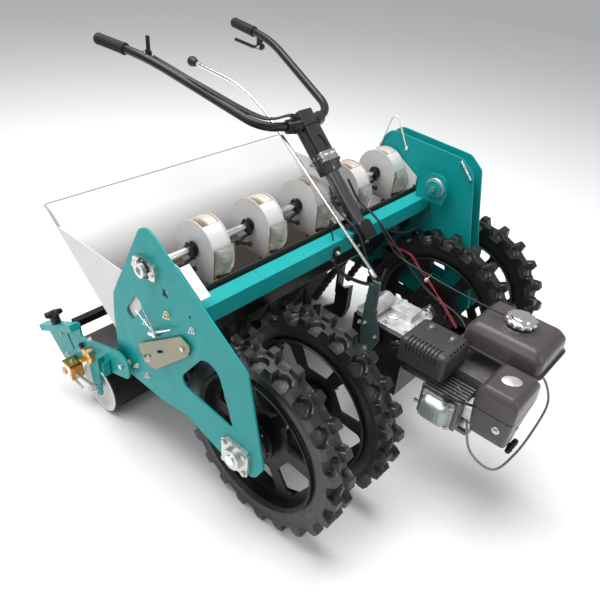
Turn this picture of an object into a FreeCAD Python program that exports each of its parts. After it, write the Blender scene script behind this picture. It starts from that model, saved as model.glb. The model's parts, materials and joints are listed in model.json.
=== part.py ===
import FreeCAD, Part
import math
import os

# Petrol walk-behind multi-row seeder.  Millimetres, +Z up.
# x = 0 is the drive unit's centre, y = 0 the wheel axle, z = 0 the ground.
# The engine faces -Y, the hopper and the press roller are at +Y.

DRIVING_SIZES = {
    "sheet": 5, "right_plate_x": -624, "left_inner_x": 394, "left_outer_x": 450,
    "axle_z": 280, "axle_radius": 15, "running_gap": 0.05,
    "wheel_radius": 280, "wheel_width": 80, "rim_radius": 205, "lug_height": 24, "lug_count": 22,
    "outer_wheel_x": 537, "inner_wheel_x": 331, "spoke_plate": 8, "wheel_hub_radius": 52,
    "beam_side": 50, "beam_wall": 3, "beam_y": 171, "beam_z": 619,
    "bar_side": 40, "bar_wall": 3, "bar_y": 466, "bar_z": 292,
    "shaft_y": 330, "shaft_z": 684, "shaft_radius": 10,
    "unit_first_x": -480, "unit_pitch": 200, "unit_count": 5, "unit_width": 62, "unit_radius": 76,
    "hopper_wall": 2, "hopper_rear_y": 845, "hopper_rear_z": 647, "hopper_floor_z": 345,
    "counter_y": 110, "counter_z": 695, "counter_radius": 10,
    "roller_y": 635, "roller_radius": 90, "roller_arm_sheet": 6,
    "crank_z": 331,
    "tube_radius": 13, "bolt_radius": 4, "bolt_clearance": 0.1,
}

doc = FreeCAD.newDocument("seeder")
sheet = doc.addObject("Spreadsheet::Sheet", "Sizes")
for row, (alias, number) in enumerate(DRIVING_SIZES.items(), start=1):
    sheet.set("A%d" % row, alias)
    sheet.set("B%d" % row, str(number))
    sheet.setAlias("B%d" % row, alias)
doc.recompute()

PIECES = []
X_AXIS = FreeCAD.Vector(1, 0, 0)
Y_AXIS = FreeCAD.Vector(0, 1, 0)
Z_AXIS = FreeCAD.Vector(0, 0, 1)
TURNS = {
    "x": FreeCAD.Rotation(Y_AXIS, 90),
    "y": FreeCAD.Rotation(X_AXIS, -90),
    "z": FreeCAD.Rotation(),
}


# ---------------------------------------------------------------- helpers

def size(alias):
    return float(sheet.get(alias))


def say(expression):
    """An expression in which each driving size gets its sheet's name."""
    text = str(expression)
    out, word = [], ""
    for letter in text + " ":
        if letter.isalnum() or letter == "_":
            word += letter
            continue
        out.append("Sizes." + word if word in DRIVING_SIZES else word)
        out.append(letter)
        word = ""
    return "".join(out).strip()


def bind(thing, **links):
    for path, expression in links.items():
        thing.setExpression(path.replace("__", "."), say(expression))


def box(name, width, depth, height, x, y, z):
    """A box with its sizes along X, Y and Z, around the point x, y, z."""
    made = doc.addObject("Part::Box", name)
    bind(made, Length=width, Width=depth, Height=height)
    bind(made, Placement__Base__x="%s - (%s) / 2" % (x, width))
    bind(made, Placement__Base__y="%s - (%s) / 2" % (y, depth))
    bind(made, Placement__Base__z="%s - (%s) / 2" % (z, height))
    return made


def rod(name, axis, radius, length, x, y, z):
    """A cylinder along one axis, around the point x, y, z."""
    made = doc.addObject("Part::Cylinder", name)
    bind(made, Radius=radius, Height=length)
    made.Placement = FreeCAD.Placement(FreeCAD.Vector(), TURNS[axis])
    for letter, value in zip("xyz", (x, y, z)):
        start = "%s - (%s) / 2" % (value, length) if letter == axis else value
        bind(made, **{"Placement__Base__" + letter: start})
    return made


def cone(name, axis, radius1, radius2, length, x, y, z):
    made = doc.addObject("Part::Cone", name)
    bind(made, Radius1=radius1, Radius2=radius2, Height=length)
    made.Placement = FreeCAD.Placement(FreeCAD.Vector(), TURNS[axis])
    for letter, value in zip("xyz", (x, y, z)):
        start = "%s - (%s) / 2" % (value, length) if letter == axis else value
        bind(made, **{"Placement__Base__" + letter: start})
    return made


def cut(name, base, *tools):
    made = base
    for index, tool in enumerate(tools):
        step = doc.addObject("Part::Cut", "%s_cut%d" % (name, index))
        step.Base = made
        step.Tool = tool
        made = step
    return made


def fuse(name, *parts):
    made = doc.addObject("Part::MultiFuse", name)
    made.Shapes = list(parts)
    return made


def group(name, parts):
    made = doc.addObject("Part::Compound", name)
    made.Links = list(parts)
    return made


def piece(label, thing):
    """Names a finished sub-part, which is saved as a file of that name."""
    thing.Label = label
    PIECES.append(thing)
    return thing


def solid(name, shape):
    made = doc.addObject("Part::Feature", name)
    made.Shape = shape
    made.Placement = FreeCAD.Placement()
    return made


def bent_tube(points, radius):
    """A round tube's outer shape through the points, with ball corners."""
    stops = [FreeCAD.Vector(*point) for point in points]
    shapes = []
    for start, end in zip(stops, stops[1:]):
        run = end - start
        shapes.append(Part.makeCylinder(radius, run.Length, start, run))
    shapes += [Part.makeSphere(radius, stop) for stop in stops[1:-1]]
    return shapes[0].multiFuse(shapes[1:]).removeSplitter() if len(shapes) > 1 else shapes[0]


def rounded_wire(corners):
    """Lines and arcs through corners given as (u, v, radius)."""
    total = len(corners)
    spots = [FreeCAD.Vector(u, v, 0) for u, v, _ in corners]
    starts, ends = [], []
    for index in range(total):
        here = spots[index]
        before = (spots[index - 1] - here).normalize()
        after = (spots[(index + 1) % total] - here).normalize()
        half = before.getAngle(after) / 2
        back = corners[index][2] / math.tan(half)
        starts.append(here + before * back)
        ends.append(here + after * back)
    edges = []
    for index in range(total):
        radius = corners[index][2]
        if radius:
            here = spots[index]
            middle = (starts[index] + ends[index]) / 2 - here
            half = (starts[index] - here).getAngle(middle)
            reach = radius / math.sin(half) - radius
            crown = here + middle.normalize() * reach
            edges.append(Part.Arc(starts[index], crown, ends[index]))
        edges.append(Part.LineSegment(ends[index], starts[(index + 1) % total]))
    return edges


def plane_of(body, role):
    return [item for item in body.Origin.OriginFeatures if item.Role == role][0]


def sketch_on(body, role, name, edges):
    sketch = body.newObject("Sketcher::SketchObject", name)
    sketch.AttachmentSupport = [(plane_of(body, role), "")]
    sketch.MapMode = "FlatFace"
    sketch.addGeometry(edges, False)
    return sketch


def circle(u, v, radius):
    return Part.Circle(FreeCAD.Vector(u, v, 0), Z_AXIS, radius)


def slot(u, v, length, width, tilt):
    """A slot with round ends, tilted by an angle in degrees."""
    along = FreeCAD.Vector(math.cos(math.radians(tilt)), math.sin(math.radians(tilt)), 0)
    across = FreeCAD.Vector(-along.y, along.x, 0)
    centre = FreeCAD.Vector(u, v, 0)
    half, radius = (length - width) / 2, width / 2
    a, b = centre - along * half, centre + along * half
    return [
        Part.LineSegment(a + across * radius, b + across * radius),
        Part.Arc(b + across * radius, b + along * radius, b - across * radius),
        Part.LineSegment(b - across * radius, a - across * radius),
        Part.Arc(a - across * radius, a - along * radius, a + across * radius),
    ]


def padded(name, role, edges, length, holes=()):
    """A body: one pad of a sketch, with pockets cut right through it."""
    body = doc.addObject("PartDesign::Body", name)
    outline = sketch_on(body, role, name + "_outline", edges)
    pad = body.newObject("PartDesign::Pad", name + "_pad")
    pad.Profile = outline
    bind(pad, Length=length)
    doc.recompute()
    full = pad.Shape.Volume
    if holes:
        opening = sketch_on(body, role, name + "_holes", [edge for hole in holes for edge in hole])
        pocket = body.newObject("PartDesign::Pocket", name + "_pocket")
        pocket.Profile = opening
        pocket.Type = 1
        pocket.Midplane = True
        doc.recompute()
        if pocket.Shape.Volume > full - 1:
            raise ValueError(name + ": its holes were not cut")
    return body


def bolts(axis, stops, length):
    """Hexagon bolts with a nut: length is the grip between head and nut."""
    made = []
    head_radius, head_height, proud = 8, 6, 7
    for stop in stops:
        shank = Part.makeCylinder(size("bolt_radius"), length + 2 * proud)
        shank.translate(FreeCAD.Vector(0, 0, -length / 2 - proud))
        corners = [math.radians(60 * k) for k in range(7)]
        hexagon = Part.makePolygon([
            FreeCAD.Vector(head_radius * math.cos(a), head_radius * math.sin(a), 0) for a in corners])
        head = Part.Face(hexagon).extrude(FreeCAD.Vector(0, 0, head_height))
        nut = head.copy()
        head.translate(FreeCAD.Vector(0, 0, -length / 2 - head_height))
        nut.translate(FreeCAD.Vector(0, 0, length / 2))
        bolt = shank.multiFuse([head, nut]).removeSplitter()
        bolt.Placement = FreeCAD.Placement(FreeCAD.Vector(*stop), TURNS[axis])
        made.append(bolt)
    return made


# ---------------------------------------------------------------- frame

def side_plate(label, x, top_corners, holes):
    """A laser-cut side plate in the YZ plane, facing along X."""
    lower = [(-28, 568, 25), (-92, 300, 40), (-60, 236, 40), (70, 236, 30), (205, 272, 60),
             (300, 252, 40), (514, 252, 30), (514, 430, 60)]
    body = padded(label, "YZ_Plane", rounded_wire(top_corners + lower), "sheet", holes)
    bind(body, Placement__Base__x="%s - sheet / 2" % x)
    return piece(label, body)


def side_plates():
    gap = size("bolt_clearance")
    bolt_hole = size("bolt_radius") + gap
    axle = [circle(0, size("axle_z"), 27)]
    axle_bolts = [circle(y, size("axle_z") + z, bolt_hole) for y in (-36, 36) for z in (-30, 30)]
    shaft = [circle(size("shaft_y"), size("shaft_z"), 20)]
    shaft_bolts = [circle(size("shaft_y") + y, size("shaft_z"), bolt_hole) for y in (-34, 34)]
    bar_bolts = [circle(size("bar_y"), size("bar_z"), bolt_hole)]
    beam_bolt = [circle(size("beam_y"), size("beam_z"), bolt_hole)]
    shared = [axle] + [[ring] for ring in axle_bolts + shaft_bolts + bar_bolts + beam_bolt] + [shaft]
    window = rounded_wire([(235, 380, 26), (92, 566, 46), (14, 356, 14)])
    half_moon = slot(408, 520, 96, 38, -56)
    square = rounded_wire([(252, 650, 2), (252, 628, 2), (274, 628, 2), (274, 650, 2)])
    right_top = [(335, 812, 46)]
    left_top = [(345, 818, 46), (60, 800, 34), (12, 762, 24)]
    side_plate("right_side_plate", "right_plate_x", [(503, 523, 30)] + right_top,
               shared + [window, half_moon, square])
    counter = [circle(size("counter_y"), size("counter_z"), 16)]
    side_plate("left_inner_side_plate", "left_inner_x", [(503, 523, 30)] + left_top,
               shared + [window, counter])
    side_plate("left_outer_side_plate", "left_outer_x", [(503, 523, 30)] + left_top,
               shared + [window, counter])


def square_tube(label, side, wall, y, z):
    """A square tube along X between the right and the inner left plate."""
    length = "left_inner_x - right_plate_x - sheet"
    middle = "(left_inner_x + right_plate_x) / 2"
    outer = box(label + "_outer", length, side, side, middle, y, z)
    inner = box(label + "_inner", length + " + 2", "%s - 2 * %s" % (side, wall),
                "%s - 2 * %s" % (side, wall), middle, y, z)
    return cut(label, outer, inner)


def frame_tubes():
    piece("front_crossbeam", square_tube("front_crossbeam", "beam_side", "beam_wall", "beam_y", "beam_z"))
    piece("rear_toolbar", square_tube("rear_toolbar", "bar_side", "bar_wall", "bar_y", "bar_z"))


def hopper():
    """An open trough of folded sheet between the side plates."""
    wall = size("hopper_wall")
    left = size("left_inner_x") - size("sheet") / 2 - 4
    right = size("right_plate_x") + size("sheet") / 2 + 4
    rear_y, rear_z, floor = size("hopper_rear_y"), size("hopper_rear_z"), size("hopper_floor_z")
    front = [(206, 652), (438, floor), (490, floor), (rear_y, rear_z)]

    def plate(spots, x, width):
        corners = [FreeCAD.Vector(x, *spot) for spot in spots]
        return Part.Face(Part.makePolygon(corners + corners[:1])).extrude(X_AXIS * width)

    folds = []
    for start, end in zip(front, front[1:]):
        run = FreeCAD.Vector(0, end[0] - start[0], end[1] - start[1])
        lift = FreeCAD.Vector(0, -run.z, run.y).normalize() * wall
        spots = [start, end, (end[0] + lift.y, end[1] + lift.z), (start[0] + lift.y, start[1] + lift.z)]
        folds.append(plate(spots, right, left - right))
    end_outline = front + [(rear_y - 15, 645), (785, 608), (432, 606), (352, 742), (292, 742), (206, 690)]
    tab_top, tab_low = (216, 731), (140, 679)
    right_outline = end_outline[:-1] + [tab_top, tab_low, (140, 650), (206, 650)]
    ends = [plate(right_outline, right, wall), plate(end_outline, left - wall, wall)]
    tab = plate([tab_top, tab_low, (tab_low[0], tab_low[1] - wall), (tab_top[0], tab_top[1] - wall)], right, 30)
    rim = Part.makeBox(left - right, 18, wall, FreeCAD.Vector(right, rear_y - 2, rear_z - wall))
    lip = Part.makeBox(left - right, wall, 20, FreeCAD.Vector(right, 206, 636))
    shape = folds[0].multiFuse(folds[1:] + ends + [tab, rim, lip])
    room = [Part.makeCylinder(46, 20, FreeCAD.Vector(x - 10, size("shaft_y"), size("shaft_z")), X_AXIS)
            for x in (right, left)]
    room += [bent_tube(tube_path(x + size("unit_width") / 2), 15.5) for x in unit_starts()]
    shape = shape.cut(Part.makeCompound(room))
    piece("seed_hopper", solid("seed_hopper", shape.removeSplitter()))


# ---------------------------------------------------------------- seed units

def unit_starts():
    first, pitch = size("unit_first_x"), size("unit_pitch")
    return [first + pitch * index for index in range(int(size("unit_count")))]


def arc_sheet(x, width, radius, thickness, start, end):
    """A curved strip about the metering shaft, between two angles."""
    outer = Part.makeCylinder(radius, width, FreeCAD.Vector(), Z_AXIS, end - start)
    inner = Part.makeCylinder(radius - thickness, width, FreeCAD.Vector(), Z_AXIS, end - start)
    strip = outer.cut(inner)
    strip.rotate(FreeCAD.Vector(), Z_AXIS, start)
    frame = FreeCAD.Matrix(0, 0, 1, x, 1, 0, 0, size("shaft_y"), 0, 1, 0, size("shaft_z"), 0, 0, 0, 1)
    return strip.transformGeometry(frame)


def disc_x(x, width, radius, y, z):
    return Part.makeCylinder(radius, width, FreeCAD.Vector(x, y, z), X_AXIS)


def unit_side(x):
    """A drop-shaped cheek: a disc with a foot towards the seed outlet."""
    y, z, radius = size("shaft_y"), size("shaft_z"), size("unit_radius")
    foot = [(y - radius * 0.98, z - 16), (y - 72, z - 84), (y + 4, z - 84), (y + radius * 0.9, z - 30)]
    corners = [FreeCAD.Vector(x, *spot) for spot in foot]
    cheek = Part.Face(Part.makePolygon(corners + corners[:1])).extrude(X_AXIS * 2)
    cheek = disc_x(x, 2, radius, y, z).fuse(cheek).removeSplitter()
    return cheek.cut(disc_x(x - 1, 4, 12, y, z))


def tube_path(x):
    return [(x, 262, 622), (x, 216, 560), (x, 405, 196)]


def seed_units():
    y, z, width = size("shaft_y"), size("shaft_z"), size("unit_width")
    starts = unit_starts()
    housings = []
    for x in starts:
        cheeks = [unit_side(x), unit_side(x + width - 2)]
        band = arc_sheet(x + 1, width - 2, 72, 1.5, 112, 176)
        housings.append(cheeks[0].multiFuse([cheeks[1], band]))
    piece("metering_housings", solid("unit_housings", Part.makeCompound(housings)))
    covers = []
    for x in starts:
        covers.append(arc_sheet(x + 2, width - 4, 74, 2, 18, 111))
        covers.append(arc_sheet(x + 2, width - 4, 74, 2, 177, 236))
    piece("seed_chamber_covers", solid("unit_covers", Part.makeCompound(covers)))
    middles = [x + width / 2 for x in starts]
    tubes = [bent_tube(tube_path(x), 15) for x in middles]
    piece("seed_drop_tubes", solid("drop_tubes", Part.makeCompound(tubes)))
    piece("furrow_openers", solid("openers", Part.makeCompound([opener(x) for x in middles])))


def opener(x):
    """A boot on a flat shank that bolts to the front of the toolbar."""
    face = size("bar_y") - size("bar_side") / 2
    shank = Part.makeBox(40, 10, 190, FreeCAD.Vector(x - 20, face - 10, 122))
    side = [(384, 60), (400, 10), (505, 10), (face, 60), (face, 130), (384, 170)]
    corners = [FreeCAD.Vector(x - 15, *spot) for spot in side]
    boot = Part.Face(Part.makePolygon(corners + corners[:1])).extrude(X_AXIS * 30)
    return boot.fuse(shank).removeSplitter()


def metering_shaft():
    left = size("left_outer_x") + 18
    right = size("right_plate_x") - 22
    shaft = rod("metering_rod", "x", "shaft_radius", left - right, (left + right) / 2,
                "shaft_y", "shaft_z")
    piece("metering_shaft", shaft)
    y, z, bore = size("shaft_y"), size("shaft_z"), size("shaft_radius")
    wheels, collars = [], []
    for x in unit_starts():
        wheel = disc_x(x + 10, size("unit_width") - 20, 58, y, z)
        for step in range(12):
            angle = math.radians(30 * step)
            pocket = Part.makeSphere(7, FreeCAD.Vector(
                x + size("unit_width") / 2, y + 60 * math.cos(angle), z + 60 * math.sin(angle)))
            wheel = wheel.cut(pocket)
        wheels.append(wheel.cut(disc_x(x, size("unit_width"), bore, y, z)))
        collars.append(disc_x(x - 14, 12, 17, y, z).cut(disc_x(x - 16, 20, bore, y, z)))
    piece("seed_wheels", solid("seed_wheel_set", Part.makeCompound(wheels)))
    piece("shaft_lock_collars", solid("collar_set", Part.makeCompound(collars)))


def sprocket(x, y, z, teeth, width, bore):
    """A roller-chain sprocket of 12.7 mm pitch, with its hub."""
    pitch_radius = 12.7 / (2 * math.sin(math.pi / teeth))
    blank = disc_x(x - width / 2, width, pitch_radius + 3, y, z)
    gaps = []
    for step in range(teeth):
        angle = 2 * math.pi * step / teeth
        gaps.append(disc_x(x - width, 2 * width, 4.3, y + (pitch_radius) * math.cos(angle),
                           z + pitch_radius * math.sin(angle)))
    hub = disc_x(x - width / 2, width, bore + 8, y, z)
    return blank.cut(Part.makeCompound(gaps)).fuse(hub).cut(disc_x(x - width, 2 * width, bore, y, z))


AXLE_CHAIN_X = 410
METER_CHAIN_X = 434
AXLE_TEETH = 28
COUNTER_TEETH = 18
METER_DRIVE_TEETH = 15
METER_TEETH = 20


def chain_drives():
    axle = (0, size("axle_z"))
    counter = (size("counter_y"), size("counter_z"))
    meter = (size("shaft_y"), size("shaft_z"))
    bore = size("counter_radius")
    piece("axle_sprocket", solid("axle_sprocket", sprocket(
        AXLE_CHAIN_X, *axle, AXLE_TEETH, 5, size("axle_radius"))))
    piece("metering_sprocket", solid("metering_sprocket", sprocket(
        METER_CHAIN_X, *meter, METER_TEETH, 5, size("shaft_radius"))))
    shaft = disc_x(322, size("left_outer_x") + 14 - 322, bore, *counter)
    first = sprocket(AXLE_CHAIN_X, *counter, COUNTER_TEETH, 5, bore)
    second = sprocket(METER_CHAIN_X, *counter, METER_DRIVE_TEETH, 5, bore)
    piece("countershaft", solid("countershaft", shaft.multiFuse([first, second]).removeSplitter()))
    loops = [chain_loop(AXLE_CHAIN_X, axle, AXLE_TEETH, counter, COUNTER_TEETH),
             chain_loop(METER_CHAIN_X, counter, METER_DRIVE_TEETH, meter, METER_TEETH)]
    piece("drive_chains", solid("chain_set", Part.makeCompound(loops)))


def chain_loop(x, low, low_teeth, high, high_teeth):
    """A closed chain as one band, standing just clear of both sprockets' teeth."""
    rings = []
    for thickness in (9, 0):
        discs = []
        for (y, z), teeth in ((low, low_teeth), (high, high_teeth)):
            radius = 12.7 / (2 * math.sin(math.pi / teeth)) + 3.4 + thickness
            discs.append((FreeCAD.Vector(x - 6, y, z), radius))
        rings.append(hull_of(discs, 12))
    return rings[0].cut(rings[1])


def hull_of(discs, width):
    """The belt shape round two discs: both discs and the strip between."""
    (a, ra), (b, rb) = discs
    run = b - a
    lean = math.asin((ra - rb) / run.Length)
    along = FreeCAD.Vector(run).normalize()
    side = FreeCAD.Vector(0, -along.z, along.y)
    corners = []
    for centre, radius, sign in ((a, ra, 1), (b, rb, 1), (b, rb, -1), (a, ra, -1)):
        reach = along * math.sin(lean) + side * (sign * math.cos(lean))
        corners.append(centre + reach * radius)
    strip = Part.Face(Part.makePolygon(corners + corners[:1])).extrude(X_AXIS * width)
    if strip.Volume < 0:
        strip.reverse()
    ends = [Part.makeCylinder(radius, width, centre, X_AXIS) for centre, radius in discs]
    return strip.multiFuse(ends).removeSplitter()


def bearings():
    """Flanged bearing units, each bolted flat on its plate."""
    right = size("right_plate_x") - size("sheet") / 2
    left = size("left_outer_x") + size("sheet") / 2
    gap = size("running_gap")
    hole = size("bolt_radius") + size("bolt_clearance")

    def unit(x, outward, y, z, half_y, half_z, nose, bore, holes):
        plate = Part.makeBox(12, 2 * half_y, 2 * half_z, FreeCAD.Vector(
            x if outward > 0 else x - 12, y - half_y, z - half_z))
        edges = [edge for edge in plate.Edges if abs(edge.tangentAt(edge.FirstParameter).x) > 0.9]
        plate = plate.makeFillet(12, edges)
        boss = disc_x(x + 12 * outward if outward > 0 else x - 26, 14, nose, y, z)
        body = plate.fuse(boss).cut(disc_x(x - 40, 80, bore + gap, y, z))
        for dy, dz in holes:
            body = body.cut(disc_x(x - 40, 80, hole, y + dy, z + dz))
        return body

    corners = [(dy, dz) for dy in (-36, 36) for dz in (-30, 30)]
    axle = [unit(x, out, 0, size("axle_z"), 48, 42, 30, size("axle_radius"), corners)
            for x, out in ((right, -1), (left, 1))]
    pair = [(-34, 0), (34, 0)]
    shaft = [unit(x, out, size("shaft_y"), size("shaft_z"), 44, 22, 20, size("shaft_radius"), pair)
             for x, out in ((right, -1), (left, 1))]
    piece("flanged_bearings", solid("bearing_set", Part.makeCompound(axle + shaft)))


def countershaft_bracket():
    """A rounded plate welded on the beam, with the countershaft's bearing."""
    y, z = size("counter_y"), size("counter_z")
    top = size("beam_z") + size("beam_side") / 2
    outline = [(76, top, 0), (176, top, 0), (176, 690, 20), (140, 740, 24), (80, 740, 24), (66, 680, 10)]
    hole = size("counter_radius") + size("running_gap")
    body = padded("bracket", "YZ_Plane", rounded_wire(outline), "sheet", [[circle(y, z, hole)]])
    bind(body, Placement__Base__x="345")
    boss = Part.makeCylinder(26, 12, FreeCAD.Vector(333, y, z), X_AXIS)
    boss = boss.cut(Part.makeCylinder(hole, 14, FreeCAD.Vector(332, y, z), X_AXIS))
    flange = solid("bracket_bearing", boss)
    piece("countershaft_bracket", fuse("countershaft_bracket", body, flange))


# ---------------------------------------------------------------- wheels

def drive_axle():
    right = size("right_plate_x") - 32
    left = size("outer_wheel_x") + 56
    shaft = rod("axle_rod", "x", "axle_radius", left - right, (left + right) / 2, 0, "axle_z")
    nuts = []
    for index, x in enumerate((-200, 200)):
        sleeve = doc.addObject("Part::Prism", "axle_sleeve%d" % index)
        sleeve.Polygon = 6
        bind(sleeve, Circumradius="axle_radius + 9", Height="90")
        sleeve.Placement = FreeCAD.Placement(FreeCAD.Vector(), TURNS["x"])
        bind(sleeve, Placement__Base__x="%s - 45" % x, Placement__Base__z="axle_z")
        nuts.append(sleeve)
    piece("drive_axle", fuse("drive_axle", shaft, *nuts))
    gear = disc_x(-12, 24, 62, 0, size("axle_z")).cut(disc_x(-14, 28, size("axle_radius"), 0, size("axle_z")))
    piece("final_drive_gear", solid("final_drive_gear", gear))


def wheel_disc_master():
    """A pressed disc with six openings, a rim band and a hub."""
    body = doc.addObject("PartDesign::Body", "wheel_disc_master")
    spoke = size("spoke_plate")
    width = size("wheel_width")

    def pad(name, edges, length, offset):
        sketch = sketch_on(body, "YZ_Plane", name + "_sketch", edges)
        sketch.AttachmentOffset = FreeCAD.Placement(FreeCAD.Vector(0, 0, offset), FreeCAD.Rotation())
        feature = body.newObject("PartDesign::Pad", name)
        feature.Profile = sketch
        bind(feature, Length=length)
        doc.recompute()
        return feature

    rim, hub, bore = size("rim_radius"), size("wheel_hub_radius"), size("axle_radius")
    pad("disc", [circle(0, 0, rim), circle(0, 0, bore)], "spoke_plate", -spoke / 2)
    pad("rim", [circle(0, 0, rim), circle(0, 0, rim - 10)], "wheel_width - 16", 8 - width / 2)
    pad("hub", [circle(0, 0, hub), circle(0, 0, bore)], "wheel_width", -width / 2)
    window = rounded_wire([(-34, 92, 10), (34, 92, 10), (72, 172, 16), (-72, 172, 16)])
    sketch = sketch_on(body, "YZ_Plane", "window_sketch", window)
    pocket = body.newObject("PartDesign::Pocket", "window")
    pocket.Profile = sketch
    pocket.Type = 1
    pocket.Midplane = True
    doc.recompute()
    around(body, [pocket], 6)
    return body


def around(body, features, count):
    ring = body.newObject("PartDesign::PolarPattern", features[0].Name + "_ring")
    ring.Originals = features
    axis = [item for item in body.Origin.OriginFeatures if item.Role == "X_Axis"][0]
    ring.Axis = (axis, [""])
    ring.Angle = 360
    ring.Occurrences = count
    body.Tip = ring
    doc.recompute()
    return ring


def tyre_master():
    """A moulded rubber ring with staggered square lugs on both shoulders."""
    outer, inner = size("wheel_radius"), size("rim_radius")
    root = outer - size("lug_height")
    width = size("wheel_width")
    ring = disc_x(-width / 2 + 6, width - 12, root, 0, 0).cut(disc_x(-width, 2 * width, inner, 0, 0))
    count = int(size("lug_count"))
    lugs = []
    for side in (-1, 1):
        for step in range(count):
            lug = lug_block(side * width / 4, width / 2, root - 14, outer)
            turn = 360.0 / count * (step + (0.5 if side > 0 else 0))
            lug.rotate(FreeCAD.Vector(), X_AXIS, turn)
            lugs.append(lug)
    return ring.multiFuse(lugs)


def lug_block(x, width, low, high):
    """One lug: a block that narrows towards the ground."""
    side = [(-25, low), (25, low), (19, high), (-19, high)]
    corners = [FreeCAD.Vector(x - width / 2, *spot) for spot in side]
    block = Part.Face(Part.makePolygon(corners + corners[:1])).extrude(X_AXIS * width)
    return block.common(disc_x(x - width / 2, width, size("wheel_radius"), 0, 0))


def wheels():
    disc = wheel_disc_master()
    tyre = doc.addObject("Part::Feature", "tyre_master")
    tyre.Shape = tyre_master()
    places = {
        "right_outer": "-outer_wheel_x", "right_inner": "-inner_wheel_x",
        "left_inner": "inner_wheel_x", "left_outer": "outer_wheel_x",
    }
    for name, x in places.items():
        for kind, master in (("wheel_disc", disc), ("tyre", tyre)):
            copy = group("%s_%s" % (name, kind), [master])
            bind(copy, Placement__Base__x=x, Placement__Base__z="axle_z")
            piece("%s_%s" % (name, kind), copy)


# ---------------------------------------------------------------- power unit

def gearbox():
    """A two-part cast case round the axle, open inside for the gear."""
    outer = box("case_outer", 150, 190, 215, 0, -20, 307.5)
    inner = box("case_inner", 134, 174, 208, 0, -20, 312)
    bore = rod("case_bore", "x", "axle_radius + running_gap", 200, 0, 0, "axle_z")
    neck = rod("case_neck", "y", 62, 100, 0, -165, "crank_z")
    neck_bore = rod("neck_bore", "y", 30, 104, 0, -165, "crank_z")
    shell = cut("case_shell", fuse("case_body", outer, neck), inner, bore, neck_bore)
    piece("gearbox_case", shell)
    lid = padded("gearbox_lid", "XY_Plane", rounded_wire(
        [(-75, -115, 18), (75, -115, 18), (75, 75, 18), (-75, 75, 18)]), 16)
    bind(lid, Placement__Base__z="415")
    boss = rod("lid_boss", "x", 26, 90, -30, 20, 456)
    rib = box("lid_rib", 60, 70, 20, 20, -50, 441)
    piece("gearbox_cover", fuse("gearbox_cover", lid, boss, rib))


def engine_block():
    """The cast crankcase with its finned cylinder lying towards -X."""
    case = box("crankcase", 170, 150, 200, 0, -295, 329)
    barrel = box("barrel", 100, 92, 76, -135, -300, 355)
    fins = [box("fin%d" % n, 5, 116, 98, -98 - 13 * n, -300, 355) for n in range(7)]
    foot = box("foot", 180, 128, 12, 0, -300, 234)
    crank = rod("crank_bore", "y", 12.55, 240, 0, -300, "crank_z")
    solid_block = fuse("block_body", case, barrel, foot, *fins)
    piece("engine_block", cut("engine_block", solid_block, crank))
    cover = padded("valve_lid", "YZ_Plane", rounded_wire(
        [(-348, 312, 14), (-252, 312, 14), (-252, 398, 14), (-348, 398, 14)]), 32)
    bind(cover, Placement__Base__x="-217")
    piece("valve_cover", cover)
    shaft = rod("crank_rod", "y", 12.5, 270, 0, -285, "crank_z")
    wheel = rod("flywheel", "y", 84, 42, 0, -403, "crank_z")
    piece("crankshaft", fuse("crankshaft", shaft, wheel))


def recoil_starter():
    """A round pressed cowl over the flywheel, and its pull handle."""
    outer = rod("cowl_outer", "y", 100, 100, 0, -420, "crank_z")
    inner = rod("cowl_inner", "y", 94, 94, 0, -416, "crank_z")
    grille = []
    for step in range(12):
        slot_box = Part.makeBox(6, 20, 34, FreeCAD.Vector(-3, -480, 44))
        slot_box.rotate(FreeCAD.Vector(), Y_AXIS, 30 * step)
        slot_box.translate(FreeCAD.Vector(0, 0, size("crank_z")))
        grille.append(slot_box)
    vents = solid("cowl_vents", Part.makeCompound(grille))
    piece("recoil_starter_cover", cut("recoil_cover", outer, inner, vents))
    grip = rod("pull_grip", "x", 9, 62, -62, -486, 262)
    neck = rod("pull_neck", "y", 5, 10, -62, -475, 262)
    piece("recoil_handle", fuse("recoil_handle", grip, neck))


def fuel_tank():
    tank = padded("tank_shell", "XY_Plane", rounded_wire(
        [(-37, -478, 26), (152, -478, 26), (152, -252, 26), (-37, -252, 26)]), 88)
    pad = tank.Tip
    soft = tank.newObject("PartDesign::Fillet", "tank_edge")
    soft.Base = (pad, ["Face%d" % (len(pad.Shape.Faces))])
    soft.Radius = 14
    doc.recompute()
    bind(tank, Placement__Base__z="457")
    neck = rod("filler_neck", "z", 34, 14, 62, -365, 549)
    brackets = [box("tank_leg%d" % n, 20, 60, 28, x, -300, 443) for n, x in enumerate((-20, 75))]
    room = box("fuel_room", 165, 202, 72, 57.5, -365, 497)
    mouth = rod("filler_mouth", "z", 26, 40, 62, -365, 540)
    piece("fuel_tank", cut("fuel_tank", fuse("tank_with_legs", tank, neck, *brackets), room, mouth))
    cap = rod("cap_disc", "z", 40, 14, 62, -365, 563)
    knurls = [rod("cap_lobe%d" % n, "z", 6, 14,
                  62 + 38 * math.cos(math.radians(36 * n)), -365 + 38 * math.sin(math.radians(36 * n)), 563)
              for n in range(10)]
    crown = rod("cap_crown", "z", 26, 6, 62, -365, 573)
    piece("fuel_cap", fuse("fuel_cap", cap, crown, *knurls))


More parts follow.
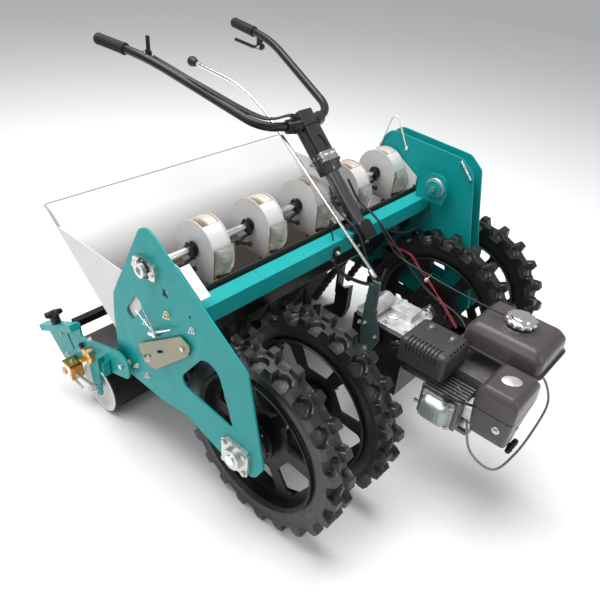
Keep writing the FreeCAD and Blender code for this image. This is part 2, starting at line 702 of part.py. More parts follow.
def intake_and_exhaust():
    can = box("muffler_can", 112, 122, 62, -108, -216, 467)
    piece("muffler", cut("muffler", can, box("muffler_room", 108, 118, 58, -108, -216, 467)))
    outer = box("shield_outer", 134, 146, 76, -108, -216, 469)
    inner = box("shield_inner", 124, 136, 74, -108, -216, 467)
    slots = [box("shield_slot%d" % n, 46, 6, 12, -76, -272 + 14 * n, 505) for n in range(9)]
    piece("muffler_shield", cut("muffler_shield", outer, inner, *slots))
    body = box("filter_body", 86, 113, 170, -147, -441.5, 420)
    head = box("filter_head", 62, 113, 64, -75, -441.5, 473)
    case = fuse("filter_case", body, head)
    body_room = box("filter_body_room", 80, 107, 164, -147, -441.5, 420)
    head_room = box("filter_head_room", 62, 107, 58, -78, -441.5, 473)
    piece("air_cleaner", cut("air_cleaner", case, body_room, head_room))
    bowl = rod("carb_bowl", "z", 12, 30, -130, -371, 332)
    throat = box("carb_throat", 44, 24, 40, -130, -371, 367)
    piece("carburettor", fuse("carburettor", bowl, throat))


# ---------------------------------------------------------------- handle

COLUMN_LOW = (0, 120, 628)
COLUMN_HIGH = (0, 416, 920)
COLUMN_LAP = 190


def column_turn():
    """The foot of the handle column, its length and its lean."""
    low = FreeCAD.Vector(*COLUMN_LOW)
    run = FreeCAD.Vector(*COLUMN_HIGH) - low
    turn = FreeCAD.Rotation(X_AXIS, -math.degrees(math.atan2(run.y, run.z)))
    return FreeCAD.Placement(low, turn), run.Length


def column_block(width, depth, start, end):
    """A block on the column's axis, between two distances from its foot."""
    place, _ = column_turn()
    block = Part.makeBox(width, depth, end - start, FreeCAD.Vector(-width / 2, -depth / 2, start))
    block.Placement = place
    return block


def handle_column():
    place, length = column_turn()
    lap = length - COLUMN_LAP
    beam_front = size("beam_y") - size("beam_side") / 2
    lower = column_block(44, 36, 0, length - 60).fuse(column_block(44, 56, 0, 30))
    lower = lower.cut(column_block(36, 28, -10, length))
    lower = lower.fuse(Part.makeBox(44, 12, 46, FreeCAD.Vector(-22, beam_front - 12, 596)))
    lower = lower.cut(Part.makeBox(200, 50, 200, FreeCAD.Vector(-100, beam_front, 444)))
    piece("lower_handle_column", solid("lower_column", biggest(lower.removeSplitter())))
    upper = column_block(60, 50, lap, length)
    upper = upper.cut(column_block(45, 37, lap - 10, length - 20))
    for side in (-1, 1):
        start, end = [FreeCAD.Vector(*spot) for spot in bar_points(side)[:2]]
        sleeve = Part.makeCylinder(21, 40, start - (end - start).normalize() * 8, end - start)
        upper = upper.fuse(sleeve)
    for side in (-1, 1):
        start, end = [FreeCAD.Vector(*spot) for spot in bar_points(side)[:2]]
        upper = upper.cut(Part.makeCylinder(size("tube_radius"), 100, start, end - start))
    upper = upper.cut(column_block(45, 37, lap - 10, length - 20))
    bolt_seat = place.multVec(FreeCAD.Vector(30, 0, lap + 30))
    upper = upper.cut(Part.makeCylinder(5.05, 20, bolt_seat - X_AXIS * 10, X_AXIS))
    piece("upper_handle_column", solid("upper_column", upper.removeSplitter()))
    stem = Part.makeCylinder(5, 20, bolt_seat - X_AXIS * 7, X_AXIS)
    knob = Part.makeCylinder(17, 16, bolt_seat + X_AXIS * 6, X_AXIS)
    piece("column_clamp_knob", solid("clamp_knob", stem.fuse(knob).removeSplitter()))


def biggest(shape):
    return sorted(shape.Solids, key=lambda item: item.Volume)[-1]


def bar_points(side):
    return [(38 * side, 392, 898), (150 * side, 430, 905), (255 * side, 800, 1030), (282 * side, 1010, 1046)]


def handlebars():
    radius, wall = size("tube_radius"), 2
    bars = [bent_tube(bar_points(side), radius).cut(bent_tube(bar_points(side), radius - wall))
            for side in (-1, 1)]
    piece("handlebars", solid("handlebar_set", Part.makeCompound(bars)))
    grips = []
    for side in (-1, 1):
        start, end = [FreeCAD.Vector(*spot) for spot in bar_points(side)[-2:]]
        run = end - start
        low = start + run * 0.42
        length = run.Length * 0.6
        grip = Part.makeCylinder(18, length, low, run)
        grips.append(grip.cut(Part.makeCylinder(size("tube_radius"), run.Length, start, run)))
    piece("handle_grips", solid("grip_set", Part.makeCompound(grips)))


def levers():
    """The clutch lever under the left bar and the throttle lever on the right."""
    blade = bent_tube([(286, 852, 994), (292, 900, 984), (298, 1000, 990)], 6)
    blade.translate(FreeCAD.Vector(-18, 0, 0))
    hub = disc_x(262, 12, 10, 852, 994).cut(disc_x(260, 16, 3.05, 852, 994))
    pivot_room = disc_x(240, 60, 3.05, 852, 994)
    piece("clutch_lever", solid("clutch_lever", blade.fuse(hub).cut(pivot_room).removeSplitter()))
    thumb = Part.makeCylinder(12, 8, FreeCAD.Vector(-232, 830, 1034), X_AXIS)
    stick = Part.makeBox(6, 12, 46, FreeCAD.Vector(-231, 824, 1036))
    piece("throttle_lever", solid("throttle_lever", thumb.fuse(stick).removeSplitter()))
    piece("gear_lever", solid("gear_lever", gear_rod()))
    arm = Part.makeBox(8, 26, 236, FreeCAD.Vector(-92, -7, 330)).fuse(disc_x(-92, 8, 20, 6, 330))
    pin = disc_x(-84, 14, 4, 6, 556)
    arm = arm.cut(disc_x(-94, 12, 8.05, 6, 330)).fuse(pin).removeSplitter()
    piece("gearbox_shift_arm", solid("shift_arm", arm))


def gear_rod():
    """The long shift rod: a slotted end plate, a straight run and a ball knob."""
    plate = Part.makeBox(5, 22, 60, FreeCAD.Vector(-79, -5, 526))
    slot_room = Part.makeBox(9, 9, 44, FreeCAD.Vector(-81, 1.5, 534))
    stops = [(-76.5, 20, 566), (-60, 500, 915), (-60, 620, 968), (-52, 838, 985)]
    rod_shape = bent_tube(stops, 6)
    ball = Part.makeSphere(17, FreeCAD.Vector(*stops[-1]))
    return plate.multiFuse([rod_shape, ball]).cut(slot_room).removeSplitter()


# ---------------------------------------------------------------- press roller

ARM_PLACES = (-650, 414)


def press_roller():
    pivot_y, pivot_z = size("bar_y"), size("bar_z")
    y, radius = size("roller_y"), size("roller_radius")
    arms = []
    outline = rounded_wire([
        (pivot_y - 34, pivot_z + 34, 32), (478, 338, 20), (688, 272, 8), (690, 324, 9), (930, 197, 12),
        (914, 166, 12), (831, 92, 14), (y + 29, 190, 10), (y + 24, 62, 22), (y - 24, 62, 22),
        (y - 24, 200, 20), (pivot_y - 34, pivot_z - 34, 32)])
    holes = [[circle(pivot_y, pivot_z, 8.05)], [circle(y, radius, 12.05)], slot(762, 207, 60, 12, 60)]
    for index, x in enumerate(ARM_PLACES):
        arm = padded("roller_arm%d" % index, "YZ_Plane", outline, "roller_arm_sheet", holes)
        bind(arm, Placement__Base__x=str(x))
        arms.append(arm)
    arms[0] = fuse("right_roller_arm", arms[0], solid("knob_flange", knob_flange()))
    piece("roller_arms", group("roller_arm_pair", arms))
    inner = ARM_PLACES[0] + size("roller_arm_sheet")
    span = ARM_PLACES[1] - inner
    middle = inner + span / 2
    bar = box("roller_bar", span, 24, 24, middle, 735, 292)
    piece("roller_crossbar", cut("roller_crossbar", bar, box("roller_bar_room", span + 2, 18, 18, middle, 735, 292)))
    sheet = Part.makeBox(span, 171, 3, FreeCAD.Vector(inner, -76, -1.5))
    piece("roller_guard", solid("roller_guard", leaned(sheet, (592, 298), -17.4)))
    drum = rod("drum_skin", "x", "roller_radius", span - 12, middle, "roller_y", "roller_radius")
    dish_a = cone("drum_dish_a", "x", 84, 60, 16, inner + 6 + 8, "roller_y", "roller_radius")
    dish_b = cone("drum_dish_b", "x", 60, 84, 16, ARM_PLACES[1] - 6 - 8, "roller_y", "roller_radius")
    spindle = rod("drum_spindle", "x", 12, span + 24, middle, "roller_y", "roller_radius")
    hollow = rod("drum_hollow", "x", "roller_radius - 3", span - 50, middle, "roller_y", "roller_radius")
    shell = cut("drum_shell", drum, dish_a, dish_b, hollow)
    piece("press_roller", fuse("press_roller", shell, spindle))
    piece("depth_star_knob", solid("depth_star_knob", star_knob()))


BRACKET_TOP = (808, 262)
BRACKET_LEAN = -28.3
KNOB_X = -664


def leaned(shape, origin=BRACKET_TOP, lean=BRACKET_LEAN):
    """A shape drawn upright at the origin, moved to a (Y, Z) place and leaned back about X."""
    place = FreeCAD.Placement(FreeCAD.Vector(0, *origin), FreeCAD.Rotation(X_AXIS, lean))
    return shape.transformed(place.toMatrix(), True)


def knob_flange():
    """The thick lip along the bracket's top edge that the depth screw passes through."""
    lip = Part.makeBox(29, 250, 22, FreeCAD.Vector(KNOB_X - 14, -125, -22))
    return leaned(lip.cut(Part.makeCylinder(5.05, 60, FreeCAD.Vector(KNOB_X, 0, -40))))


def star_knob():
    """A five-lobed hand knob on its screw."""
    screw = Part.makeCylinder(5, 66, FreeCAD.Vector(KNOB_X, 0, -40))
    lobes = [Part.makeCylinder(18, 24, FreeCAD.Vector(KNOB_X, 0, 20))]
    for step in range(5):
        turn = math.radians(72 * step)
        spot = FreeCAD.Vector(KNOB_X + 22 * math.cos(turn), 22 * math.sin(turn), 20)
        lobes.append(Part.makeCylinder(11, 24, spot))
    return leaned(screw.multiFuse(lobes).removeSplitter())


def depth_lever():
    """A slotted quadrant plate outside the right side plate."""
    outline = [(392, 412, 10), (204, 546, 12), (164, 534, 12), (176, 500, 10), (318, 366, 12), (366, 360, 12)]
    holes = [[circle(190, 518, 6.05)], slot(352, 394, 44, 9, -35), slot(290, 446, 34, 9, -35)]
    body = padded("depth_plate", "YZ_Plane", rounded_wire(outline), 4, holes)
    bind(body, Placement__Base__x="right_plate_x - 12")
    piece("depth_lever", body)


# ---------------------------------------------------------------- fasteners and cables

def fasteners():
    sheet_half = size("sheet") / 2
    right, left = size("right_plate_x"), size("left_outer_x")
    made = []
    axle_z, shaft_y, shaft_z = size("axle_z"), size("shaft_y"), size("shaft_z")
    for x, out in ((right, -1), (left, 1)):
        centre = x + out * 6
        spots = [(centre, dy, axle_z + dz) for dy in (-36, 36) for dz in (-30, 30)]
        spots += [(centre, shaft_y + dy, shaft_z) for dy in (-34, 34)]
        made += bolts("x", spots, 12 + 2 * sheet_half)
    pins = []
    for x, length in ((right - sheet_half, -31.5), (left - 56 + sheet_half, 34)):
        start = x + min(length, 0)
        pins.append(disc_x(start, abs(length), 8, size("bar_y"), size("bar_z")))
    pins.append(disc_x(right - sheet_half - 16, 16, 6, 190, 518))
    pins.append(disc_x(-86 - 10, 21, 8, 6, 330))
    inner_face = size("left_inner_x") + sheet_half
    gap = left - sheet_half - inner_face
    spacers = [disc_x(inner_face, gap, 14, *spot) for spot in ((60, 742), (450, 560), (470, 360), (150, 320))]
    piece("frame_bolts_and_spacers", solid("fastener_set", Part.makeCompound(made + pins + spacers)))


def springs_and_cables():
    coils = []
    for y, z in ((262, 530), (150, 410)):
        coil = Part.makeCylinder(9, 76, FreeCAD.Vector(422, y, z), FreeCAD.Vector(0, 0.3, 1))
        coils.append(coil)
    piece("tensioner_springs", solid("spring_set", Part.makeCompound(coils)))
    runs = [
        [(-44, 246, 762), (-50, 200, 706), (-52, 118, 664), (-50, 60, 560), (-40, 40, 490)],
        [(44, 246, 762), (50, 200, 706), (54, 118, 664), (56, -60, 530), (52, -190, 492), (30, -236, 480)],
    ]
    piece("control_cables", solid("cable_set", Part.makeCompound([bent_tube(run, 3.5) for run in runs])))


# ---------------------------------------------------------------- assembly

def build():
    side_plates()
    frame_tubes()
    hopper()
    seed_units()
    metering_shaft()
    chain_drives()
    bearings()
    countershaft_bracket()
    drive_axle()
    wheels()
    gearbox()
    engine_block()
    recoil_starter()
    fuel_tank()
    intake_and_exhaust()
    handle_column()
    handlebars()
    levers()
    press_roller()
    depth_lever()
    fasteners()
    springs_and_cables()


def save():
    doc.recompute()
    for thing in doc.Objects:
        if "Invalid" in thing.State or "Error" in thing.State:
            raise ValueError(thing.Name + " did not build")
    os.makedirs("parts", exist_ok=True)
    for thing in PIECES:
        if thing.Shape.isNull() or not thing.Shape.isValid():
            raise ValueError(thing.Label + " is not a valid shape")
        thing.Shape.exportStep("parts/%s.step" % thing.Label)


build()
save()
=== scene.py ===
"""The looks of a petrol walk-behind row seeder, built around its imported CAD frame.  Metres, +Z up."""
import json
import math

import bmesh
import bpy
from mathutils import Matrix, Vector


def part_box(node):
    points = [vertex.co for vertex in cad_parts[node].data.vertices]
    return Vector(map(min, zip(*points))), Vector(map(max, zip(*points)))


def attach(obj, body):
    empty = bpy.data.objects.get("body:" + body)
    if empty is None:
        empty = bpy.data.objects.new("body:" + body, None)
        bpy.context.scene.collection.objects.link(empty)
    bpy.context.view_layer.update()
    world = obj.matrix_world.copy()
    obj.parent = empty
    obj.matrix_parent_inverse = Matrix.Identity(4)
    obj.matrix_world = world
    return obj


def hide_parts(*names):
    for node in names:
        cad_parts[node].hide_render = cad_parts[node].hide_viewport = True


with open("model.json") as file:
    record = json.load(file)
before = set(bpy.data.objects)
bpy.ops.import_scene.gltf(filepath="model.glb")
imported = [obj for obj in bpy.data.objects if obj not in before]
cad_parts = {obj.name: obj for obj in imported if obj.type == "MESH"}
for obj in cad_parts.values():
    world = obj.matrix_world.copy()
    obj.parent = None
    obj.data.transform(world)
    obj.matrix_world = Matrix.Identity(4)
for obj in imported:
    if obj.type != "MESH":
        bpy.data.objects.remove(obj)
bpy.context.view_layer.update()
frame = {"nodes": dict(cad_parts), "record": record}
NODES = frame["nodes"]
TAU = 2 * math.pi

# Heights and depths, in metres, between which the hopper and the units turn from dark to unshaded: painted
# shade, with some seed dust in the hopper's trough.
DUST_AND_SHADE_LOW, DUST_AND_SHADE_HIGH = 0.45, 0.58
LIP_DARK, LIP_UNSHADED, LIP_TOP, LIP_FADE = 0.212, 0.218, 0.659, 0.004
UNIT_DARK, UNIT_UNSHADED = 0.600, 0.690
UNIT_COUNT, UNIT_PITCH = 5, 0.200
GEARBOX_COVER_TOP = 0.431
TYRE_BEAD = 0.205
LUG_DEPTH = 0.030
CHANNEL_START, CHANNEL_END = 0.222, 0.418
CLAMP_PLACES = (-0.470, -0.395, 0.285, 0.262)
GRIP_END = 0.07
THREAD_PITCH = 0.0016
X, Y, Z = Vector((1, 0, 0)), Vector((0, 1, 0)), Vector((0, 0, 1))

# ---------------------------------------------------------------- materials


class Paint:
    """A small builder for one node material."""

    def __init__(self, name, color, rough=0.5, metal=0.0):
        self.material = bpy.data.materials.new(name)
        self.material.use_nodes = True
        self.tree = self.material.node_tree
        self.shader = self.tree.nodes["Principled BSDF"]
        self.place = self.node("ShaderNodeTexCoord").outputs["Object"]
        self.set("Base Color", (*color, 1))
        self.set("Roughness", rough)
        self.set("Metallic", metal)
        self.normal = None

    def node(self, kind, **values):
        made = self.tree.nodes.new(kind)
        for key, value in values.items():
            setattr(made, key, value)
        return made

    def link(self, source, target):
        self.tree.links.new(source, target)

    def set(self, socket, value):
        self.shader.inputs[socket].default_value = value

    def noise(self, scale, detail=4.0, rough=0.6, distort=0.0):
        made = self.node("ShaderNodeTexNoise")
        made.inputs["Scale"].default_value = scale
        made.inputs["Detail"].default_value = detail
        made.inputs["Roughness"].default_value = rough
        made.inputs["Distortion"].default_value = distort
        self.link(self.place, made.inputs["Vector"])
        return made.outputs["Fac"]

    def stretched(self, scale, stretch):
        """Noise drawn out along one direction, as brushing or rolling leaves it."""
        mapping = self.node("ShaderNodeMapping")
        mapping.inputs["Scale"].default_value = stretch
        self.link(self.place, mapping.inputs["Vector"])
        made = self.node("ShaderNodeTexNoise")
        made.inputs["Scale"].default_value = scale
        made.inputs["Detail"].default_value = 3
        self.link(mapping.outputs["Vector"], made.inputs["Vector"])
        return made.outputs["Fac"]

    def ramp(self, source, low, high, start=0.3, end=0.7):
        made = self.node("ShaderNodeMapRange")
        made.inputs["From Min"].default_value = start
        made.inputs["From Max"].default_value = end
        made.inputs["To Min"].default_value = low
        made.inputs["To Max"].default_value = high
        self.link(source, made.inputs["Value"])
        return made.outputs["Result"]

    def mix(self, factor, first, second):
        made = self.node("ShaderNodeMix", data_type="RGBA")
        if isinstance(factor, (int, float)):
            made.inputs["Factor"].default_value = factor
        else:
            self.link(factor, made.inputs["Factor"])
        for socket, value in ((made.inputs[6], first), (made.inputs[7], second)):
            if isinstance(value, tuple):
                socket.default_value = (*value, 1)
            else:
                self.link(value, socket)
        return made.outputs[2]

    def color(self, source):
        self.link(source, self.shader.inputs["Base Color"])
        return self

    def rough(self, source, low, high):
        self.link(self.ramp(source, low, high), self.shader.inputs["Roughness"])
        return self

    def bump(self, source, depth, strength=1.0):
        made = self.node("ShaderNodeBump")
        made.inputs["Distance"].default_value = depth
        made.inputs["Strength"].default_value = strength
        self.link(source, made.inputs["Height"])
        if self.normal is not None:
            self.link(self.normal, made.inputs["Normal"])
        self.normal = made.outputs["Normal"]
        return self

    def soft_edges(self, radius):
        """Rounds the look of hard corners, as paint and pressing do."""
        made = self.node("ShaderNodeBevel", samples=4)
        made.inputs["Radius"].default_value = radius
        self.normal = made.outputs["Normal"]
        return self

    def edges(self, radius=0.003):
        """0 on flat faces, up to 1 along sharp corners."""
        round_off = self.node("ShaderNodeBevel", samples=4)
        round_off.inputs["Radius"].default_value = radius
        flat = self.node("ShaderNodeNewGeometry")
        dot = self.node("ShaderNodeVectorMath", operation="DOT_PRODUCT")
        self.link(round_off.outputs["Normal"], dot.inputs[0])
        self.link(flat.outputs["Normal"], dot.inputs[1])
        return self.ramp(dot.outputs["Value"], 1.0, 0.0, 0.86, 0.99)

    def done(self):
        if self.normal is not None:
            self.link(self.normal, self.shader.inputs["Normal"])
        return self.material


def enamel(name, color, dark, chip, rough=0.3):
    """Sprayed gloss paint: orange peel, a little dust and worn corners."""
    paint = Paint(name, color, rough)
    paint.soft_edges(0.0012)
    drift = paint.mix(paint.ramp(paint.noise(6), 0, 1), color, dark)
    wear = paint.node("ShaderNodeMath", operation="MULTIPLY")
    paint.link(paint.edges(0.0016), wear.inputs[0])
    paint.link(paint.ramp(paint.noise(60, 6), 0.0, 0.5, 0.45, 0.62), wear.inputs[1])
    paint.color(paint.mix(wear.outputs[0], drift, chip))
    paint.rough(paint.noise(24), rough - 0.05, rough + 0.12)
    paint.bump(paint.noise(900, 2), 0.00025, 0.35)
    paint.bump(paint.noise(9, 2), 0.0012, 0.12)
    paint.set("Coat Weight", 0.10)
    paint.set("Coat Roughness", 0.12)
    paint.set("Specular IOR Level", 0.20)
    return paint.done()


def bare_metal(name, color, rough, stretch=(1, 1, 1), stain=(0.35, 0.33, 0.30), depth=0.0002):
    """Plated or machined steel with drawn lines, blotches and rubbed corners."""
    paint = Paint(name, color, rough, 1.0)
    paint.soft_edges(0.0008)
    lines = paint.stretched(160, stretch)
    blotch = paint.ramp(paint.noise(30, 5), 0.0, 0.45, 0.42, 0.75)
    paint.color(paint.mix(blotch, color, stain))
    paint.rough(lines, rough - 0.08, rough + 0.14)
    paint.bump(lines, depth, 0.5)
    return paint.done()


def cast_metal(name, light, dark, rough=0.45, grain=420, metal=0.9):
    """Die-cast aluminium: sandy skin with patches of darker dirt."""
    paint = Paint(name, light, rough, metal)
    paint.soft_edges(0.0014)
    paint.color(paint.mix(paint.ramp(paint.noise(22, 6), 0, 0.8, 0.4, 0.7), light, dark))
    paint.rough(paint.noise(70), rough - 0.08, rough + 0.15)
    paint.bump(paint.noise(grain, 3), 0.0005, 0.4)
    return paint.done()


def moulded(name, color, light, rough=0.5, grain=1100, depth=0.0002, coat=0.0):
    """Moulded plastic or powder coat with a fine grain."""
    paint = Paint(name, color, rough)
    paint.soft_edges(0.0012)
    paint.color(paint.mix(paint.ramp(paint.noise(14, 5), 0, 0.6, 0.4, 0.75), color, light))
    paint.rough(paint.noise(45), rough - 0.07, rough + 0.1)
    paint.bump(paint.noise(grain, 2), depth, 0.5)
    paint.set("Coat Weight", coat)
    paint.set("Specular IOR Level", 0.34)
    return paint.done()


def tyre_rubber():
    """Matt black rubber with fine grain and a dusty bloom."""
    paint = Paint("tyre_rubber", (0.006, 0.006, 0.006), 0.5)
    paint.soft_edges(0.002)
    dust = paint.ramp(paint.noise(11, 6, 0.7), 0.0, 0.35, 0.5, 0.8)
    paint.color(paint.mix(dust, (0.0055, 0.0055, 0.0055), (0.018, 0.017, 0.016)))
    paint.rough(paint.noise(60), 0.30, 0.50)
    paint.set("Specular IOR Level", 0.6)
    paint.bump(paint.noise(500, 4), 0.0004, 0.5)
    return paint.done()


def clear_plastic(name, tint, rough, clarity):
    """Tinted see-through plastic with a slightly wavy skin."""
    paint = Paint(name, tint, rough)
    paint.set("Transmission Weight", clarity)
    paint.set("IOR", 1.45)
    paint.color(paint.mix(paint.ramp(paint.noise(25, 4), 0, 0.4), tint, tuple(0.8 * c for c in tint)))
    paint.rough(paint.noise(35, 5), rough, rough + 0.25)
    paint.bump(paint.noise(14, 3), 0.001, 0.25)
    return paint.done()


def white_sheet():
    """Painted white sheet with faint grime."""
    paint = Paint("white_sheet", (0.80, 0.79, 0.76), 0.36)
    paint.soft_edges(0.001)
    dirt = paint.ramp(paint.noise(5, 6, 0.65), 0.0, 0.3, 0.5, 0.85)
    paint.color(paint.mix(dirt, (0.70, 0.69, 0.68), (0.63, 0.62, 0.60)))
    paint.rough(paint.noise(18), 0.3, 0.5)
    paint.bump(paint.noise(700, 2), 0.0002, 0.3)
    paint.bump(paint.noise(4, 1), 0.003, 0.1)
    return paint.done()


def hopper_sheet():
    """White sheet whose upward faces darken towards the bottom of the trough, as painted shade with some
    seed dust, and whose front lip low down is darkened as painted shade.
    """
    paint = Paint("hopper_sheet", (0.70, 0.69, 0.68), 0.36)
    paint.soft_edges(0.001)
    split = paint.node("ShaderNodeSeparateXYZ")
    paint.link(paint.place, split.inputs[0])
    facing = paint.node("ShaderNodeSeparateXYZ")
    paint.link(paint.node("ShaderNodeNewGeometry").outputs["Normal"], facing.inputs[0])
    # painted shade with some seed dust: upward faces darken towards the bottom of the trough
    depth = paint.node("ShaderNodeMath", operation="MULTIPLY")
    paint.link(paint.ramp(split.outputs["Z"], 1.0, 0.0, DUST_AND_SHADE_LOW, DUST_AND_SHADE_HIGH), depth.inputs[0])
    paint.link(paint.ramp(facing.outputs["Z"], 0.0, 1.0, 0.1, 0.3), depth.inputs[1])
    # painted shade: the front lip low down, just behind the beam, is darkened
    lip = paint.node("ShaderNodeMath", operation="MULTIPLY")
    paint.link(paint.ramp(split.outputs["Y"], 1.0, 0.0, LIP_DARK, LIP_UNSHADED), lip.inputs[0])
    paint.link(paint.ramp(split.outputs["Z"], 1.0, 0.0, LIP_TOP, LIP_TOP + LIP_FADE), lip.inputs[1])
    shade = paint.node("ShaderNodeMath", operation="MAXIMUM")
    paint.link(depth.outputs[0], shade.inputs[0])
    paint.link(lip.outputs[0], shade.inputs[1])
    dirt = paint.ramp(paint.noise(5, 6, 0.65), 0.0, 0.3, 0.5, 0.85)
    # painted shade: this base is a little greyer than white_sheet, so the hopper reads grey against the
    # white floor
    base_sheet = paint.mix(dirt, (0.67, 0.66, 0.65), (0.59, 0.58, 0.56))
    # the dark colour is painted shade, with some seed dust in the trough
    paint.color(paint.mix(shade.outputs[0], base_sheet, (0.035, 0.027, 0.021)))
    paint.rough(paint.noise(18), 0.3, 0.5)
    paint.bump(paint.noise(700, 2), 0.0002, 0.3)
    return paint.done()


def unit_sheet():
    """Pale zinc sheet of the metering units, darkened low down near the trough as painted shade."""
    paint = Paint("unit_sheet", (0.66, 0.65, 0.64), 0.38, 0.2)
    paint.soft_edges(0.0008)
    split = paint.node("ShaderNodeSeparateXYZ")
    paint.link(paint.place, split.inputs[0])
    stain = paint.ramp(paint.noise(18, 5, 0.6), 0.0, 0.35, 0.4, 0.8)
    base_sheet = paint.mix(stain, (0.68, 0.67, 0.66), (0.56, 0.55, 0.54))
    # painted shade: each unit darkens towards its lower part
    low_down = paint.ramp(split.outputs["Z"], 0.85, 0.0, UNIT_DARK, UNIT_UNSHADED)
    paint.color(paint.mix(low_down, base_sheet, (0.075, 0.066, 0.058)))
    paint.rough(paint.noise(40), 0.30, 0.46)
    paint.bump(paint.noise(40, 3), 0.0006, 0.2)
    return paint.done()


def studio_floor_paint():
    """The studio floor: plain pale sheet with the faintest tone shift."""
    paint = Paint("studio_floor", (0.95, 0.95, 0.95), 0.8)
    paint.color(paint.mix(paint.ramp(paint.noise(0.6), 0, 1), (0.95, 0.95, 0.95), (0.94, 0.94, 0.94)))
    return paint.done()


M = {
    "teal": enamel("teal_enamel", (0.005, 0.300, 0.296), (0.004, 0.272, 0.270), (0.026, 0.38, 0.37), 0.38),
    "white": white_sheet(),
    "hopper": hopper_sheet(),
    "chrome": bare_metal("bright_shaft", (0.85, 0.85, 0.85), 0.16, (0.05, 1, 1), (0.70, 0.70, 0.70),
                         0.00005),
    "zinc": bare_metal("zinc_plate", (0.64, 0.64, 0.62), 0.32),
    "dark_steel": bare_metal("oiled_steel", (0.16, 0.155, 0.15), 0.42),
    "spring": bare_metal("blued_spring", (0.06, 0.06, 0.062), 0.38),
    "gunmetal": bare_metal("gunmetal_tube", (0.20, 0.19, 0.19), 0.20, (1, 0.08, 0.08), (0.15, 0.145, 0.145),
                           0.00005),
    "yellow_zinc": bare_metal("yellow_zinc_plate", (0.62, 0.56, 0.36), 0.36, (1, 1, 1), (0.52, 0.47, 0.32)),
    "lever_tan": enamel("lever_tan_paint", (0.32, 0.30, 0.20), (0.28, 0.265, 0.18), (0.42, 0.40, 0.30),
                        0.36),
    "orange_zinc": bare_metal("orange_zinc_plate", (0.86, 0.42, 0.09), 0.35, (1, 1, 1), (0.60, 0.26, 0.05)),
    "brass": bare_metal("brass", (0.66, 0.44, 0.20), 0.32, (1, 1, 1), (0.46, 0.30, 0.14)),
    "aluminium": cast_metal("cast_aluminium", (0.80, 0.79, 0.79), (0.52, 0.51, 0.51)),
    "valve_cover": cast_metal("silver_green_paint", (0.36, 0.41, 0.37), (0.27, 0.31, 0.28), 0.32, 600, 0.55),
    "black_paint": moulded("black_enamel", (0.0055, 0.0055, 0.006), (0.014, 0.014, 0.014), 0.34, 900,
                           0.0001, 0.1),
    "engine_black": moulded("engine_black", (0.014, 0.0125, 0.0125), (0.024, 0.022, 0.022), 0.40),
    "engine_grey": cast_metal("grey_engine_casting", (0.24, 0.225, 0.225), (0.13, 0.12, 0.12), 0.42, 420,
                              0.7),
    "wheel_black": moulded("wheel_black", (0.0040, 0.0045, 0.0042), (0.012, 0.012, 0.011), 0.44, 700,
                           0.0002, 0.0),
    "channel_grey": moulded("grey_enamel", (0.022, 0.019, 0.020), (0.034, 0.030, 0.031), 0.22, 900, 0.0001,
                            0.6),
    "guard_grey": moulded("grey_powder_coat", (0.058, 0.050, 0.051), (0.075, 0.066, 0.067), 0.5, 700,
                          0.0002),
    "shift_teal": moulded("dark_teal_plate", (0.055, 0.088, 0.086), (0.075, 0.115, 0.112), 0.42, 700,
                          0.0002),
    "tyre": tyre_rubber(),
    "tank": moulded("tank_paint", (0.060, 0.050, 0.050), (0.074, 0.063, 0.063), 0.36, 1400, 0.0001, 0.2),
    "plastic": moulded("dark_plastic", (0.010, 0.011, 0.012), (0.022, 0.023, 0.024), 0.42),
    "rubber": moulded("soft_rubber", (0.008, 0.008, 0.008), (0.020, 0.020, 0.020), 0.60, 800, 0.0003),
    "drum_rubber": moulded("drum_rubber", (0.010, 0.010, 0.010), (0.022, 0.021, 0.020), 0.55, 500, 0.0004),
    "hose": moulded("hose_rubber", (0.012, 0.012, 0.012), (0.030, 0.029, 0.028), 0.5, 500, 0.0003),
    "cable": moulded("cable_sheath", (0.012, 0.012, 0.013), (0.028, 0.028, 0.029), 0.36, 900, 0.0001),
    "grey_cable": moulded("grey_cable_sheath", (0.16, 0.165, 0.17), (0.24, 0.245, 0.25), 0.36, 900, 0.0001),
    "tan_clear": clear_plastic("tan_clear_plastic", (0.78, 0.70, 0.60), 0.14, 0.40),
    "clear": clear_plastic("clear_plastic", (0.90, 0.91, 0.84), 0.05, 0.82),
    "seed_wheel": moulded("brown_seed_wheel", (0.16, 0.09, 0.045), (0.28, 0.18, 0.10), 0.5, 500, 0.0004),
    "red": moulded("red_wire", (0.26, 0.006, 0.022), (0.32, 0.02, 0.04), 0.4, 900, 0.0001),
    # painted shade: the rim bead is white sheet, coloured grey to give the shade line along the rim
    "rim_shade_grey": moulded("rim_painted_shade", (0.30, 0.30, 0.30), (0.36, 0.36, 0.36), 0.4, 700, 0.0001),
    # painted light: the shield is a lighter copy of the engine black, standing in for the light on its top
    "shield": moulded("shield_lit_black", (0.040, 0.037, 0.039), (0.056, 0.052, 0.054), 0.36),
    "unit_sheet": unit_sheet(),
    "white_plastic": moulded("white_plastic", (0.70, 0.70, 0.68), (0.78, 0.78, 0.76), 0.4, 900, 0.0001),
    "dark_well": moulded("dark_brown_sheet", (0.030, 0.022, 0.018), (0.050, 0.038, 0.030), 0.5, 500, 0.0003),
    "floor": studio_floor_paint(),
}

